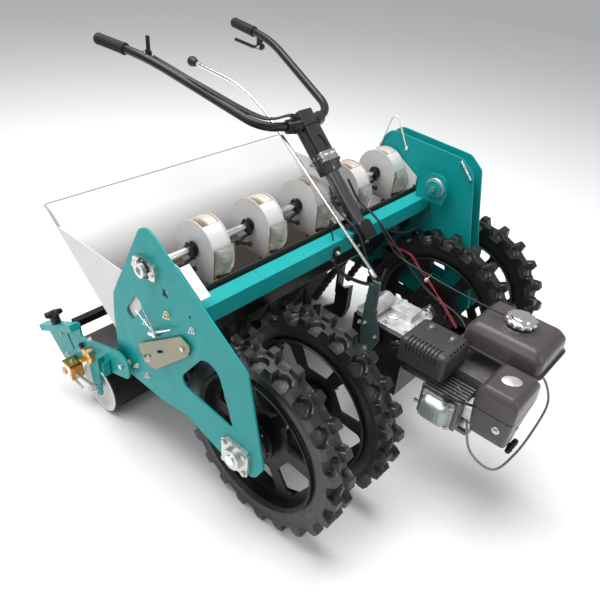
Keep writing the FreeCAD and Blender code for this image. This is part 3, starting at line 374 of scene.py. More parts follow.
NODE_LOOKS = {
    "teal": ["right_side_plate", "left_inner_side_plate", "left_outer_side_plate", "front_crossbeam",
             "countershaft_bracket", "roller_arms"],
    "hopper": ["seed_hopper"],
    "unit_sheet": ["metering_housings"],
    "chrome": ["metering_shaft", "fuel_cap", "drive_axle"],
    "zinc": ["flanged_bearings", "frame_bolts_and_spacers", "final_drive_gear", "countershaft", "crankshaft",
             "gear_lever", "muffler"],
    "dark_steel": ["drive_chains", "axle_sprocket", "metering_sprocket"],
    "lever_tan": ["depth_lever"],
    "aluminium": ["gearbox_cover", "carburettor"],
    "engine_grey": ["engine_block"],
    "valve_cover": ["valve_cover"],
    "black_paint": ["rear_toolbar", "furrow_openers", "lower_handle_column", "upper_handle_column",
                    "handlebars",
                    "roller_crossbar", "clutch_lever", "shaft_lock_collars", "gearbox_case"],
    "drum_rubber": ["press_roller"],
    "guard_grey": ["roller_guard"],
    "shift_teal": ["gearbox_shift_arm"],
    "spring": ["tensioner_springs"],
    "engine_black": ["muffler_shield", "recoil_starter_cover"],
    "wheel_black": ["right_outer_wheel_disc", "right_inner_wheel_disc", "left_inner_wheel_disc",
                    "left_outer_wheel_disc"],
    "tyre": ["right_outer_tyre", "right_inner_tyre", "left_inner_tyre", "left_outer_tyre"],
    "tank": ["fuel_tank", "air_cleaner"],
    "plastic": ["column_clamp_knob", "depth_star_knob", "throttle_lever"],
    "rubber": ["handle_grips", "recoil_handle"],
    "cable": ["control_cables"],
    "hose": ["seed_drop_tubes"],
    "tan_clear": ["seed_chamber_covers"],
    "seed_wheel": ["seed_wheels"],
}


def dress(thing, look):
    """Gives an object one look in all its material slots."""
    thing.data.materials.clear()
    thing.data.materials.append(M[look])
    return thing


def dress_cad_nodes():
    """Gives each CAD node its look."""
    for look, names in NODE_LOOKS.items():
        for name in names:
            dress(NODES[name], look)


# ---------------------------------------------------------------- mesh tools


def mm(*place):
    """A point given in millimetres, as the frame's metres."""
    return Vector(place) / 1000


def basis(axis, hint=None):
    """Two directions across an axis, and the axis itself."""
    along = Vector(axis).normalized()
    side = Vector(hint) if hint else (Z if abs(along.z) < 0.9 else X)
    side = (side - along * side.dot(along)).normalized()
    return side, along.cross(side), along


def rounded_path(corners, radius, steps=7):
    """A straight-sided path with its corners rounded off."""
    path = [corners[0]]
    for before, corner, after in zip(corners, corners[1:], corners[2:]):
        back, ahead = before - corner, after - corner
        reach = min(radius, 0.48 * back.length, 0.48 * ahead.length)
        for step in range(steps + 1):
            t = step / steps
            path.append(corner + back.normalized() * reach * (1 - t) ** 2
                        + ahead.normalized() * reach * t * t)
    return path + [corners[-1]]


def curved_path(points, steps=8):
    """A smooth path through all the points."""
    ends = [2 * points[0] - points[1], *points, 2 * points[-1] - points[-2]]
    path = []
    for a, b, c, d in zip(ends, ends[1:], ends[2:], ends[3:]):
        for step in range(steps):
            t = step / steps
            path.append(0.5 * (2 * b + (c - a) * t + (2 * a - 5 * b + 4 * c - d) * t * t
                               + (3 * b - 3 * c + d - a) * t ** 3))
    return path + [points[-1]]


def helix(start, end, radius, turns, steps=14):
    """The centre line of a coil spring."""
    side, across = basis(end - start)[:2]
    count = int(turns * steps)
    return [start + (end - start) * k / count
            + (side * math.cos(TAU * k / steps) + across * math.sin(TAU * k / steps)) * radius
            for k in range(count + 1)]


def rounded_rectangle(half_u, half_v, corner, steps=5):
    """Points round a rectangle with arc corners."""
    corner = min(corner, half_u, half_v)
    points = []
    for quarter in range(4):
        sign_u = 1 if quarter in (0, 3) else -1
        sign_v = 1 if quarter in (0, 1) else -1
        for step in range(steps + 1):
            turn = math.pi / 2 * (quarter + step / steps)
            points.append((sign_u * (half_u - corner) + corner * math.cos(turn),
                           sign_v * (half_v - corner) + corner * math.sin(turn)))
    return points


class Shape:
    """Collects closed solids and turns them into one piece."""

    def __init__(self):
        self.bm = bmesh.new()

    def ring(self, points):
        return [self.bm.verts.new(point) for point in points]

    def skin(self, rings, closed=False, capped=True):
        """Faces between rings of equal length; single points close an end."""
        pairs = list(zip(rings, rings[1:]))
        if closed:
            pairs.append((rings[-1], rings[0]))
        for low, high in pairs:
            self.band(low, high)
        if capped and not closed:
            for end in (rings[0], rings[-1]):
                if len(end) > 2:
                    self.bm.faces.new(end)
        return self

    def band(self, low, high):
        if len(low) == 1 and len(high) == 1:
            return
        count = max(len(low), len(high))
        for k in range(count):
            n = (k + 1) % count
            corners = [low[k % len(low)], low[n % len(low)], high[n % len(high)], high[k % len(high)]]
            unique = [v for i, v in enumerate(corners) if v not in corners[:i]]
            self.bm.faces.new(unique)

    def lathe(self, place, axis, profile, steps=32, closed=False):
        """Turns (distance along the axis, radius) pairs about an axis."""
        side, across, along = basis(axis)
        rings = []
        for reach, radius in profile:
            middle = place + along * reach
            if radius < 1e-6:
                rings.append(self.ring([middle]))
                continue
            rings.append(self.ring([
                middle + (side * math.cos(TAU * k / steps) + across * math.sin(TAU * k / steps)) * radius
                for k in range(steps)]))
        return self.skin(rings, closed=closed)

    def tube(self, path, radius, sides=10):
        """A round bar along a path; radius may be one number or one for each point."""
        radii = radius if isinstance(radius, (list, tuple)) else [radius] * len(path)
        tangents = [(path[min(k + 1, len(path) - 1)] - path[max(k - 1, 0)]).normalized()
                    for k in range(len(path))]
        side = basis(tangents[0])[0]
        rings = []
        for point, tangent, thick in zip(path, tangents, radii):
            side = (side - tangent * side.dot(tangent)).normalized()
            across = tangent.cross(side)
            rings.append(self.ring([
                point + (side * math.cos(TAU * k / sides) + across * math.sin(TAU * k / sides)) * thick
                for k in range(sides)]))
        return self.skin(rings)

    def loft(self, place, axis, sections, hint=None):
        """Closed outlines [(reach, [(u, v)...])] stacked along an axis."""
        side, across, along = basis(axis, hint)
        rings = [self.ring([place + along * reach + side * u + across * v for u, v in outline])
                 for reach, outline in sections]
        return self.skin(rings)

    def prism(self, place, axis, outline, depth, hint=None):
        return self.loft(place, axis, [(0, outline), (depth, outline)], hint)

    def block(self, low, high):
        low, high = Vector(low), Vector(high)
        half = (high - low) / 2
        outline = [(half.y, half.z), (-half.y, half.z), (-half.y, -half.z), (half.y, -half.z)]
        middle = (low + high) / 2
        return self.prism(middle - X * half.x, X, outline, 2 * half.x, Y)

    def hexagon(self, place, axis, size, height):
        """A bolt head with its chamfered crown."""
        corners = [(size * math.cos(TAU * k / 6), size * math.sin(TAU * k / 6)) for k in range(6)]
        crown = [(0.86 * u, 0.86 * v) for u, v in corners]
        return self.loft(place, axis, [(0, corners), (0.8 * height, corners), (height, crown)])

    def bolt(self, place, axis, size=0.0075, height=0.005, washer=True):
        along = Vector(axis).normalized()
        if washer:
            self.lathe(place, axis, [(0, size * 1.35), (0.0016, size * 1.35)], 24)
        self.hexagon(place + along * 0.0016, axis, size, height)
        stub = [(0, size * 0.5), (0.0035, size * 0.5), (0.0045, size * 0.38)]
        return self.lathe(place + along * (0.0016 + height), axis, stub, 12)

    def piece(self, name, look, body, bevel=0.0, replaces=(), sharp=38, segments=2):
        """Closes the mesh, gives it its finish and hangs it on a body."""
        bmesh.ops.recalc_face_normals(self.bm, faces=self.bm.faces)
        mesh = bpy.data.meshes.new(name)
        self.bm.to_mesh(mesh)
        self.bm.free()
        return hang(mesh, name, look, body, bevel, replaces, sharp, segments)


def hang(mesh, name, look, body, bevel=0.0, replaces=(), sharp=38, segments=2, place=None):
    """Makes an object of a finished mesh, and hangs it on a body in place of its CAD nodes."""
    mesh.polygons.foreach_set("use_smooth", [True] * len(mesh.polygons))
    mesh.set_sharp_from_angle(angle=math.radians(sharp))
    if not mesh.materials:
        mesh.materials.append(M[look])
    thing = bpy.data.objects.new(name, mesh)
    bpy.context.scene.collection.objects.link(thing)
    if place is not None:
        thing.location = place
    if bevel:
        edge = thing.modifiers.new("soft_edges", "BEVEL")
        edge.width = bevel
        edge.segments = segments
        edge.limit_method = "ANGLE"
        edge.angle_limit = math.radians(sharp)
        edge.harden_normals = True
    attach(thing, body)
    if replaces:
        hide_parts(*replaces)
    return thing


def carved(thing, cutter_shape):
    """Cuts the collected solids out of a piece and keeps the result as its mesh."""
    bmesh.ops.recalc_face_normals(cutter_shape.bm, faces=cutter_shape.bm.faces)
    mesh = bpy.data.meshes.new("cutter")
    cutter_shape.bm.to_mesh(mesh)
    cutter_shape.bm.free()
    cutter = bpy.data.objects.new("cutter", mesh)
    bpy.context.scene.collection.objects.link(cutter)
    carve = thing.modifiers.new("carve", "BOOLEAN")
    carve.operation = "DIFFERENCE"
    carve.solver = "EXACT"
    carve.object = cutter
    bpy.context.view_layer.update()
    result = bpy.data.meshes.new_from_object(thing.evaluated_get(bpy.context.evaluated_depsgraph_get()))
    thing.modifiers.clear()
    thing.data = result
    result.polygons.foreach_set("use_smooth", [True] * len(result.polygons))
    result.set_sharp_from_angle(angle=math.radians(38))
    bpy.data.objects.remove(cutter)
    return thing


def middle_of(node):
    """The middle of a CAD node's box."""
    low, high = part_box(node)
    return (low + high) / 2


# ---------------------------------------------------------------- wheels

WHEELS = ("right_outer", "right_inner", "left_inner", "left_outer")
LUG_PITCHES = 22


def ramp(value, start, end):
    """0 before start, 1 after end, smooth between."""
    t = min(max((value - start) / (end - start), 0), 1)
    return t * t * (3 - 2 * t)


def tread_height(around, across, pitch):
    """1 on the tread blocks, 0 at the bottom of the round pockets.  Lengths in metres."""
    height = 0.58
    for side in (-1, 1):
        shift = 0.5 if side > 0 else 0.0
        along = ((around + shift + 0.5) % 1 - 0.5) * pitch
        out = side * across - 0.029
        scoop = math.hypot(along, out * 0.85)
        height = min(height, 0.58 * ramp(scoop, 0.0215, 0.0255) + 0.06 * ramp(scoop, 0.0, 0.021))
    for side in (-1, 1):
        shift = 0.5 if side > 0 else 0.0
        block_along = ((around + shift) % 1 - 0.5) * pitch
        block_out = side * across - 0.0245
        inside = ramp(0.0150 - abs(block_along), 0, 0.0022) * ramp(0.0155 - abs(block_out), 0, 0.0022)
        height = max(height, inside)
    return height


def tyre_mesh(radius, width, bead):
    """A lugged tyre about the X axis: staggered square blocks with round pockets between them."""
    half = width / 2
    root = radius - LUG_DEPTH
    pitch = TAU * radius / LUG_PITCHES
    per_pitch, across_steps = 30, 30
    shape = Shape()
    rings = []
    for k in range(LUG_PITCHES * per_pitch):
        around = k / per_pitch
        turn = TAU * k / (LUG_PITCHES * per_pitch)
        tread = []
        for step in range(across_steps + 1):
            x = -half + width * step / across_steps
            tread.append((x, root + (radius - root) * tread_height(around, x, pitch)))
        left_edge, right_edge = tread[0][1], tread[-1][1]
        side_wall = [(0.0, 0.206), (0.30, 0.214), (0.62, 0.226), (0.52, 0.229), (0.50, 0.238), (0.74, 0.244)]
        scale = bead / TYRE_BEAD
        left = [(-half * (0.86 + 0.14 * out), r * scale) for out, r in side_wall]
        right = [(half * (0.86 + 0.14 * out), r * scale) for out, r in reversed(side_wall)]
        shoulder_l = [(-half, 0.5 * (0.244 * scale + left_edge))]
        shoulder_r = [(half, 0.5 * (0.244 * scale + right_edge))]
        section = left + shoulder_l + tread + shoulder_r + right
        rings.append(shape.ring([(x, r * math.sin(turn), r * math.cos(turn)) for x, r in section]))
    shape.skin(rings, closed=True, capped=False)
    bmesh.ops.recalc_face_normals(shape.bm, faces=shape.bm.faces)
    mesh = bpy.data.meshes.new("lugged_tyre")
    shape.bm.to_mesh(mesh)
    shape.bm.free()
    return mesh


def tyres():
    """Four tyres that share one mesh."""
    low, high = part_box(WHEELS[0] + "_tyre")
    radius, width = (high.z - low.z) / 2, high.x - low.x
    mesh = tyre_mesh(radius, width, TYRE_BEAD)
    for wheel in WHEELS:
        node = wheel + "_tyre"
        hang(mesh, wheel + "_lugged_tyre", "tyre", "drive_axle_set", replaces=(node,), sharp=50,
             place=middle_of(node))


def wheel_fittings():
    """Hub flanges, clamp bolts and a rolled rim bead on each wheel disc."""
    bolts, hubs, rims = Shape(), Shape(), Shape()
    for wheel in WHEELS:
        low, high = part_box(wheel + "_wheel_disc")
        centre = (low + high) / 2
        for side in (-1, 1):
            face = centre + X * side * (high.x - low.x) / 2
            hubs.lathe(face - X * side * 0.022, X * side,
                       [(0, 0.052), (0, 0.060), (0.008, 0.060), (0.012, 0.050), (0.024, 0.034),
                        (0.026, 0.030), (0.026, 0.0155), (0, 0.0155)], 40, closed=True)
            for k in range(6):
                turn = TAU * (k + 0.5) / 6
                spot = face - X * side * 0.014 + Vector((0, math.sin(turn), math.cos(turn))) * 0.0475
                bolts.bolt(spot, X * side, 0.006, 0.005)
            rims.lathe(face - X * side * 0.004, X * side,
                       [(0, 0.194), (0, 0.203), (0.006, 0.206), (0.009, 0.2045), (0.009, 0.202),
                        (0.004, 0.198)], 96, closed=True)
    hubs.piece("wheel_hub_flanges", "wheel_black", "drive_axle_set", 0.001)
    bolts.piece("wheel_hub_bolts", "zinc", "drive_axle_set", 0.0004)
    rims.piece("wheel_rim_beads", "wheel_black", "drive_axle_set")


def axle_clamps():
    """Bright clamp sleeves on the axle beside the hubs."""
    low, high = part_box("drive_axle")
    centre = (low + high) / 2
    sleeves, bolts = Shape(), Shape()
    for x in CLAMP_PLACES:
        spot = Vector((x, centre.y, centre.z))
        sleeves.lathe(spot, X, [(0, 0.0155), (0, 0.024), (0.002, 0.026), (0.030, 0.026), (0.032, 0.024),
                                (0.032, 0.0155)], 32, closed=True)
        bolts.bolt(spot + mm(16, 0, 26), Z, 0.0065, 0.005)
    sleeves.piece("axle_clamp_sleeves", "zinc", "drive_axle_set", 0.0006)
    bolts.piece("axle_clamp_bolts", "zinc", "drive_axle_set", 0.0004)


# ---------------------------------------------------------------- seed units

def unit_frames():
    """The start of each metering unit along X, and the shaft's centre line."""
    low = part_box("metering_housings")[0]
    shaft = middle_of("metering_shaft")
    return [Vector((low.x + UNIT_PITCH * k, shaft.y, shaft.z)) for k in range(UNIT_COUNT)]


def arc_point(angle, radius):
    """A point round the metering shaft, at an angle in degrees."""
    turn = math.radians(angle)
    return Vector((0, math.cos(turn), math.sin(turn))) * radius


def seed_domes():
    """Tan covers over the far half of each unit, with a flat near face and a rolled edge."""
    for index, start in enumerate(unit_frames()):
        dome = Shape()
        angles = [12 + 100 * k / 18 for k in range(19)]
        inner = [start + arc_point(a, 0.030) for a in (112, 90, 62, 35, 12)]
        rings = []
        for x, radius in ((0.027, 0.066), (0.0285, 0.0705), (0.031, 0.0725), (0.058, 0.0735)):
            rings.append(dome.ring([start + X * x + arc_point(a, radius) for a in angles]
                                   + [point + X * x for point in inner]))
        dome.skin(rings)
        replaced = ("seed_chamber_covers",) if index == 0 else ()
        dome.piece("seed_dome_cover_%d" % (index + 1), "tan_clear", "frame", 0.0, replaced, 50)


def sheet_border(rows):
    """The corners along the border of a grid of vertices, in order round it."""
    return rows[0] + [row[-1] for row in rows[1:]] + rows[-1][-2::-1] + [row[0] for row in rows[-2:0:-1]]


def seed_cups():
    """Clear bulging cups low on the front of each unit."""
    cups, rims, mouths = Shape(), Shape(), Shape()
    for start in unit_frames():
        rows = []
        for a in range(15):
            angle = 166 + 76 * a / 14
            swell = math.sin(math.pi * a / 14) ** 0.6
            row = []
            for b in range(11):
                x = 0.006 + 0.062 * b / 10
                bulge = math.sin(math.pi * b / 10) ** 0.5
                row.append(start + X * x + arc_point(angle, 0.0765 + 0.026 * swell * bulge))
            rows.append(row)
        mouths.loft(start + X * 0.004, X, [(reach, [(p.y, p.z) for p in (
            arc_point(168, 0.0772), arc_point(188, 0.0772), arc_point(205, 0.0772), arc_point(222, 0.0772),
            arc_point(240, 0.0772), arc_point(240, 0.070), arc_point(205, 0.070), arc_point(168, 0.070))])
            for reach in (0, 0.056)], Y)
        outside = [cups.ring(row) for row in rows]
        inside = [cups.ring([point - (point - start - X * (point.x - start.x)).normalized() * 0.0018
                             for point in row]) for row in rows]
        for sheet in (outside, inside):
            for low, high in zip(sheet, sheet[1:]):
                for k in range(len(low) - 1):
                    cups.bm.faces.new([low[k], low[k + 1], high[k + 1], high[k]])
        edge_out, edge_in = sheet_border(outside), sheet_border(inside)
        for k in range(len(edge_out)):
            n = (k + 1) % len(edge_out)
            cups.bm.faces.new([edge_out[k], edge_out[n], edge_in[n], edge_in[k]])
        edge = [v.co.copy() for v in edge_out]
        rims.tube(edge + [edge[0]], 0.0022, 8)
    cups.piece("seed_cup_covers", "clear", "frame", sharp=60)
    rims.piece("seed_cup_rims", "clear", "frame", sharp=60)
    mouths.piece("seed_cup_mouths", "dark_well", "frame")


def seed_fittings():
    """Brass outlet necks, rubber elbows and the brushes of each unit."""
    brass, elbows, brushes = Shape(), Shape(), Shape()
    for start in unit_frames():
        mouth = start + X * 0.031 + arc_point(232, 0.070)
        down = Vector((0, -0.35, -1)).normalized()
        brass.lathe(mouth, down, [(0, 0), (0, 0.017), (0.004, 0.019), (0.012, 0.019), (0.013, 0.0145),
                                  (0.024, 0.0145), (0.025, 0.017), (0.031, 0.017), (0.031, 0)], 28)
        elbow = curved_path([mouth + down * 0.028, mouth + down * 0.05 + Y * 0.006,
                             mouth + down * 0.062 + Y * 0.034], 6)
        elbows.tube(elbow, 0.0155, 16)
        for k in range(6):
            x = 0.014 + 0.007 * k
            root = start + X * x + arc_point(198, 0.058)
            brushes.tube([root, root + arc_point(206, 0.016) + Z * 0.004], [0.0028, 0.0016], 7)
    brass.piece("seed_outlet_necks", "brass", "frame", 0.0006)
    elbows.piece("seed_outlet_elbows", "hose", "frame", sharp=60)
    brushes.piece("seed_wiper_brushes", "seed_wheel", "frame", sharp=60)


def lobed_outline(radius, depth, lobes, steps=60):
    """A closed outline whose reach swells and sinks once for each lobe."""
    outline = []
    for k in range(steps):
        turn = TAU * k / steps
        reach = radius + depth * math.cos(lobes * TAU * k / steps)
        outline.append((reach * math.cos(turn), reach * math.sin(turn)))
    return outline


def shaft_collars():
    """Lobed black clutch collars on the near side of each unit."""
    collars, screws = Shape(), Shape()
    for start in unit_frames():
        face = start - X * 0.0215
        collars.prism(face, X, lobed_outline(0.0195, 0.0042, 3), 0.007)
        collars.lathe(face + X * 0.007, X, [(0, 0.0145), (0.006, 0.0145), (0.0065, 0.0200),
                                            (0.0125, 0.0200)], 40)
        screws.hexagon(face + X * 0.0035 + Z * 0.0195, Z, 0.0035, 0.004)
    collars.piece("clutch_collars", "black_paint", "metering_shaft_set", 0.0008, ("shaft_lock_collars",))
    screws.piece("collar_screws", "zinc", "metering_shaft_set", 0.0003)


def shaft_linkage():
    """A thin rod under the metering shaft and the black forks that hang on it."""
    rod, forks = Shape(), Shape()
    frames = unit_frames()
    drop = mm(0, -9, -21)
    lean = Vector((0, 0.6, 0.8))
    rod.tube([frames[0] + drop - X * 0.130, frames[-1] + drop - X * 0.004], 0.0024, 10)
    for start in frames:
        a, b, c = start + mm(-12, -9, -20), start + mm(-58, -13, -32), start + mm(-18, -20, -48)
        for p, q in ((a, b), (b, c)):
            side = (q - p).normalized().cross(lean).normalized() * 0.005
            depth = lean * 0.004
            rings = [forks.ring([e - side - depth, e + side - depth, e + side + depth, e - side + depth])
                     for e in (p, q)]
            forks.skin(rings)
        for joint in (a, b, c):
            forks.lathe(joint - lean * 0.007, lean, [(0, 0.0065), (0.014, 0.0065)], 16)
    rod.piece("clutch_rod", "dark_steel", "frame")
    forks.piece("clutch_forks", "black_paint", "frame", 0.0006)


# ---------------------------------------------------------------- side plate fittings

def plate_fittings():
    """Bolts on the right side plate, and the rods and knuckles of the hopper's gate latch."""
    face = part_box("right_side_plate")[0].x
    bolts, yellow = Shape(), Shape()
    for y, z in ((356, 501), (164, 584), (461, 297), (422, 309), (371, 304)):
        bolts.bolt(Vector((face, y / 1000, z / 1000)), -X, 0.0075, 0.005)
    bolts.bolt(Vector((face - 0.004, 0.348, 0.384)), -X, 0.0085, 0.006)
    yellow.bolt(Vector((face, 0.261, 0.576)), -X, 0.0095, 0.006)
    bolts.piece("right_plate_bolts", "zinc", "frame", 0.0004)
    yellow.piece("right_plate_yellow_bolt", "yellow_zinc", "frame", 0.0004)
    latch, knuckle = Shape(), Shape()
    out = face - 0.012
    path = [Vector((out, 0.382, 0.532)), Vector((out, 0.309, 0.500)), Vector((out - 0.006, 0.298, 0.494))]
    latch.tube(path, 0.0016, 10)
    latch.tube([Vector((out, 0.352, 0.560)), Vector((out, 0.298, 0.494))], 0.0013, 10)
    latch.tube([Vector((out, 0.328, 0.486)), Vector((out, 0.232, 0.554))], 0.0029, 12)
    knuckle.lathe(Vector((face, 0.300, 0.501)), -X, [(0, 0.0085), (0.004, 0.009), (0.012, 0.008),
                                                     (0.020, 0.008), (0.022, 0.006)], 24)
    knuckle.lathe(Vector((out, 0.328, 0.486)), Vector((0, -0.81, 0.58)),
                  [(0, 0.0055), (0.006, 0.0078), (0.020, 0.0078), (0.026, 0.0055)], 20)
    latch.piece("hopper_gate_rod", "chrome", "frame")
    knuckle.piece("hopper_gate_knuckle", "chrome", "frame", 0.0005)


def bearing_details():
    """Black seal rings and set screws on the flanged bearings, and the countershaft's round flange."""
    seals, caps = Shape(), Shape()
    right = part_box("right_side_plate")[0].x
    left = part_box("left_outer_side_plate")[1].x
    for node in ("metering_shaft", "drive_axle"):
        centre = middle_of(node)
        for face, out in ((right, -1), (left, 1)):
            spot = Vector((face, centre.y, centre.z))
            seals.lathe(spot, X * out, [(0.0085, 0.0165), (0.0085, 0.0275), (0.0135, 0.0265),
                                        (0.0165, 0.0165)], 40, closed=True)
            caps.hexagon(spot + X * out * 0.012 + Z * 0.0225, Z, 0.0032, 0.004)
    spot = Vector((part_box("countershaft_bracket")[1].x, *middle_of("countershaft").yz))
    flange = [(0, 0.020), (0.004, 0.034), (0.009, 0.034), (0.012, 0.030), (0.012, 0.020)]
    caps.lathe(spot, -X, flange, 48, closed=True)
    seals.lathe(spot, -X, [(0.006, 0.0125), (0.006, 0.0195), (0.0135, 0.0195), (0.0155, 0.0125)], 40,
                closed=True)
    seals.piece("bearing_seal_rings", "plastic", "frame", 0.0005)
    caps.piece("bearing_grease_screws", "zinc", "frame", 0.0003)


def shade_sheet_under_beam():
    """A black sheet hung behind the crossbeam that stands in for the dark shade under the beam and hides the
    seed tubes there.
    """
    low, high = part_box("front_crossbeam")
    left, right = low.x + 0.010, high.x - 0.010
    back, top = high.y + 0.003, high.z - 0.010
    # painted shade: this sheet gives the solid dark seen beneath the beam
    sheet = Shape()
    profile = [(back, top), (back + 0.003, top), (back + 0.003, low.z - 0.086),
               (back + 0.020, low.z - 0.110), (back + 0.018, low.z - 0.112), (back, low.z - 0.088)]
    rings = [sheet.ring([Vector((x, y, z)) for y, z in profile]) for x in (left, right)]
    sheet.skin(rings)
    sheet.piece("under_beam_shade_sheet", "black_paint", "frame", 0.0008)


def seed_tubes():
    """Ribbed black hoses from the units down to the openers."""
    hoses = Shape()
    for start in unit_frames():
        middle = start + X * 0.031
        path = curved_path([Vector((middle.x, 0.262, 0.622)), Vector((middle.x, 0.216, 0.560)),
                            Vector((middle.x, 0.262, 0.470)), Vector((middle.x, 0.340, 0.330)),
                            Vector((middle.x, 0.405, 0.196))], 26)
        radii = [0.0138 + 0.0016 * math.sin(k * 1.3) for k in range(len(path))]
        hoses.tube(path, radii, 14)
    hoses.piece("ribbed_seed_hoses", "hose", "frame", 0.0, ("seed_drop_tubes",), 70)


# ---------------------------------------------------------------- press roller

def press_drum():
    """The rubber drum, with a dished pale end plate on each side."""
    low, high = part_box("press_roller")
    centre = (low + high) / 2
    radius = (high.z - low.z) / 2
    start, end = low.x + 0.014, high.x - 0.014
    length = end - start
    drum, dishes, spindle = Shape(), Shape(), Shape()
    drum.lathe(Vector((start, centre.y, centre.z)), X,
               [(0, radius - 0.012), (0, radius - 0.003), (0.003, radius), (length - 0.003, radius),
                (length, radius - 0.003), (length, radius - 0.012)], 96, closed=True)
    for face, out in ((start, -1), (end, 1)):
        spot = Vector((face, centre.y, centre.z))
        dishes.lathe(spot, X * out, [
            (0.0015, radius - 0.001), (0.0030, radius - 0.005), (0.0018, radius - 0.0125),
            (-0.010, radius - 0.019),
            (-0.018, radius - 0.034), (-0.018, 0.034), (-0.010, 0.030), (0.002, 0.026), (0.002, 0.0),
            (-0.022, 0.0), (-0.022, radius - 0.034), (-0.012, radius - 0.013), (-0.004, radius - 0.006)], 96,
            closed=True)
    spindle.lathe(Vector((low.x, centre.y, centre.z)), X, [(0, 0.010), (0.002, 0.012), (0.050, 0.012)], 32)
    spindle.lathe(Vector((high.x, centre.y, centre.z)), -X, [(0, 0.010), (0.002, 0.012), (0.050, 0.012)], 32)
    spindle.bolt(Vector((low.x, centre.y, centre.z)), -X, 0.009, 0.006)
    drum.piece("press_roller_drum", "drum_rubber", "press_roller_set", 0.0, ("press_roller",))
    dishes.piece("press_roller_end_dishes", "white", "press_roller_set", sharp=50)
    spindle.piece("press_roller_spindle", "zinc", "press_roller_set", 0.0004)


def joint_line(name):
    """A joint's place and direction at rest."""
    joint = next(item for item in frame["record"]["behaviour"]["joints"] if item["name"] == name)
    return Vector(joint["pos_m"]), Vector(joint["axis"]).normalized()


def roller_fittings():
    """The scraper's clamps, bush and screws on the near roller arm, with its folded lug."""
    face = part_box("press_roller")[0].x + 0.006
    seat, up = joint_line("star_knob_turn")
    ahead = X.cross(up)
    orange, brass, zinc, black, teal = Shape(), Shape(), Shape(), Shape(), Shape()

    def spot(forward, down, out=0.0):
        place = seat + ahead * forward - up * down
        return Vector((face - out, place.y, place.z))

    corner = spot(0.000, 0.154)
    orange.block(corner + mm(-44, -26, -30), corner + mm(0, -20, 26))
    orange.block(corner + mm(-44, -26, 20), corner + mm(0, 26, 26))
    orange.block(corner + mm(-5, -26, -30), corner + mm(0, 26, 26))
    orange.lathe(spot(0.120, 0.112), -X, [(0, 0.026), (0.012, 0.026), (0.014, 0.022)], 36)
    orange.block(spot(0.120, 0.112) + mm(-34, -10, -8), spot(0.120, 0.112) + mm(0, 10, -2))
    brass.lathe(spot(0.150, 0.098), -X, [(0, 0.016), (0.020, 0.016), (0.023, 0.012)], 32)
    brass.lathe(corner + mm(-44, 8, -4), -X, [(0, 0.013), (0.006, 0.013), (0.008, 0.010)], 28)
    rod_start = corner + mm(-22, -20, -14)
    zinc.tube([rod_start, rod_start + mm(0, -96, 10)], 0.0058, 14)
    zinc.tube([corner + mm(-30, 10, -34), corner + mm(-30, -60, -44)], 0.0045, 12)
    for place in (spot(-0.055, 0.118), spot(-0.020, 0.128), spot(0.070, 0.095), spot(0.175, 0.055)):
        zinc.bolt(place, -X, 0.0062, 0.0045)
    zinc.bolt(corner + mm(-22, -26, -14), -Y, 0.0075, 0.006)
    zinc.bolt(corner + mm(-22, 0, 26), Z, 0.0060, 0.0045)
    black.lathe(spot(0.098, 0.078, 0.001), -X, [(0, 0.009), (0.010, 0.009), (0.012, 0.006)], 24)
    lug = spot(0.228, 0.132)
    teal.block(lug + mm(-26, -16, -32), lug + mm(0, -12, 22))
    teal.block(lug + mm(-4, -16, -32), lug + mm(0, 16, 22))
    teal.block(lug + mm(-26, 12, -32), lug + mm(0, 16, 22))
    orange.piece("scraper_clamps", "orange_zinc", "roller_frame", 0.0012)
    brass.piece("scraper_bush", "brass", "roller_frame", 0.0008)
    zinc.piece("scraper_screws", "zinc", "roller_frame", 0.0004)
    black.piece("roller_arm_plug", "plastic", "roller_frame", 0.0006)
    teal.piece("roller_arm_lug", "teal", "roller_frame", 0.0008)


def star_knob():
    """A five-lobed hand knob with a slim neck on its threaded screw."""
    place, up = joint_line("star_knob_turn")
    low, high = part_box("depth_star_knob")
    reach = (high.x - low.x) / 2
    bite = 0.2 * reach
    knob, screw = Shape(), Shape()
    head = [(0.026, 0.72), (0.028, 0.92), (0.031, 1.0), (0.038, 1.0), (0.042, 0.93), (0.044, 0.78)]
    knob.loft(place, up, [(out, [(u * k, v * k) for u, v in lobed_outline(reach - bite, bite, 5)])
                          for out, k in head])
    knob.lathe(place + up * 0.0015, up, [(0, 0.0145), (0.001, 0.0155), (0.019, 0.0155), (0.025, 0.0190)], 32)
    knob.lathe(place + up * 0.044, up, [(0, 0.010), (0.0008, 0.0092)], 24)
    thread = [(0.0, 0.0044)]
    for turn in range(38):
        rise = THREAD_PITCH * turn
        thread += [(0.0004 + rise, 0.0049), (0.0012 + rise, 0.0043)]
    screw.lathe(place - up * 0.040, up, thread, 20)
    knob.piece("depth_star_knob_moulding", "plastic", "star_knob", 0.0, ("depth_star_knob",), 50)
    screw.piece("depth_star_knob_screw", "zinc", "star_knob", 0.0, (), 50)


# ---------------------------------------------------------------- handle

COLUMN_FOOT = Vector((0, 0.120, 0.628))
COLUMN_TOP = Vector((0, 0.416, 0.920))
COLUMN_AXIS = (COLUMN_TOP - COLUMN_FOOT).normalized()
COLUMN_NORMAL = X.cross(COLUMN_AXIS)


def on_column(reach, side=0.0, out=0.0):
    """A point a distance up the column, off to +X, and out from its face (metres)."""
    return COLUMN_FOOT + COLUMN_AXIS * reach + X * side + COLUMN_NORMAL * out


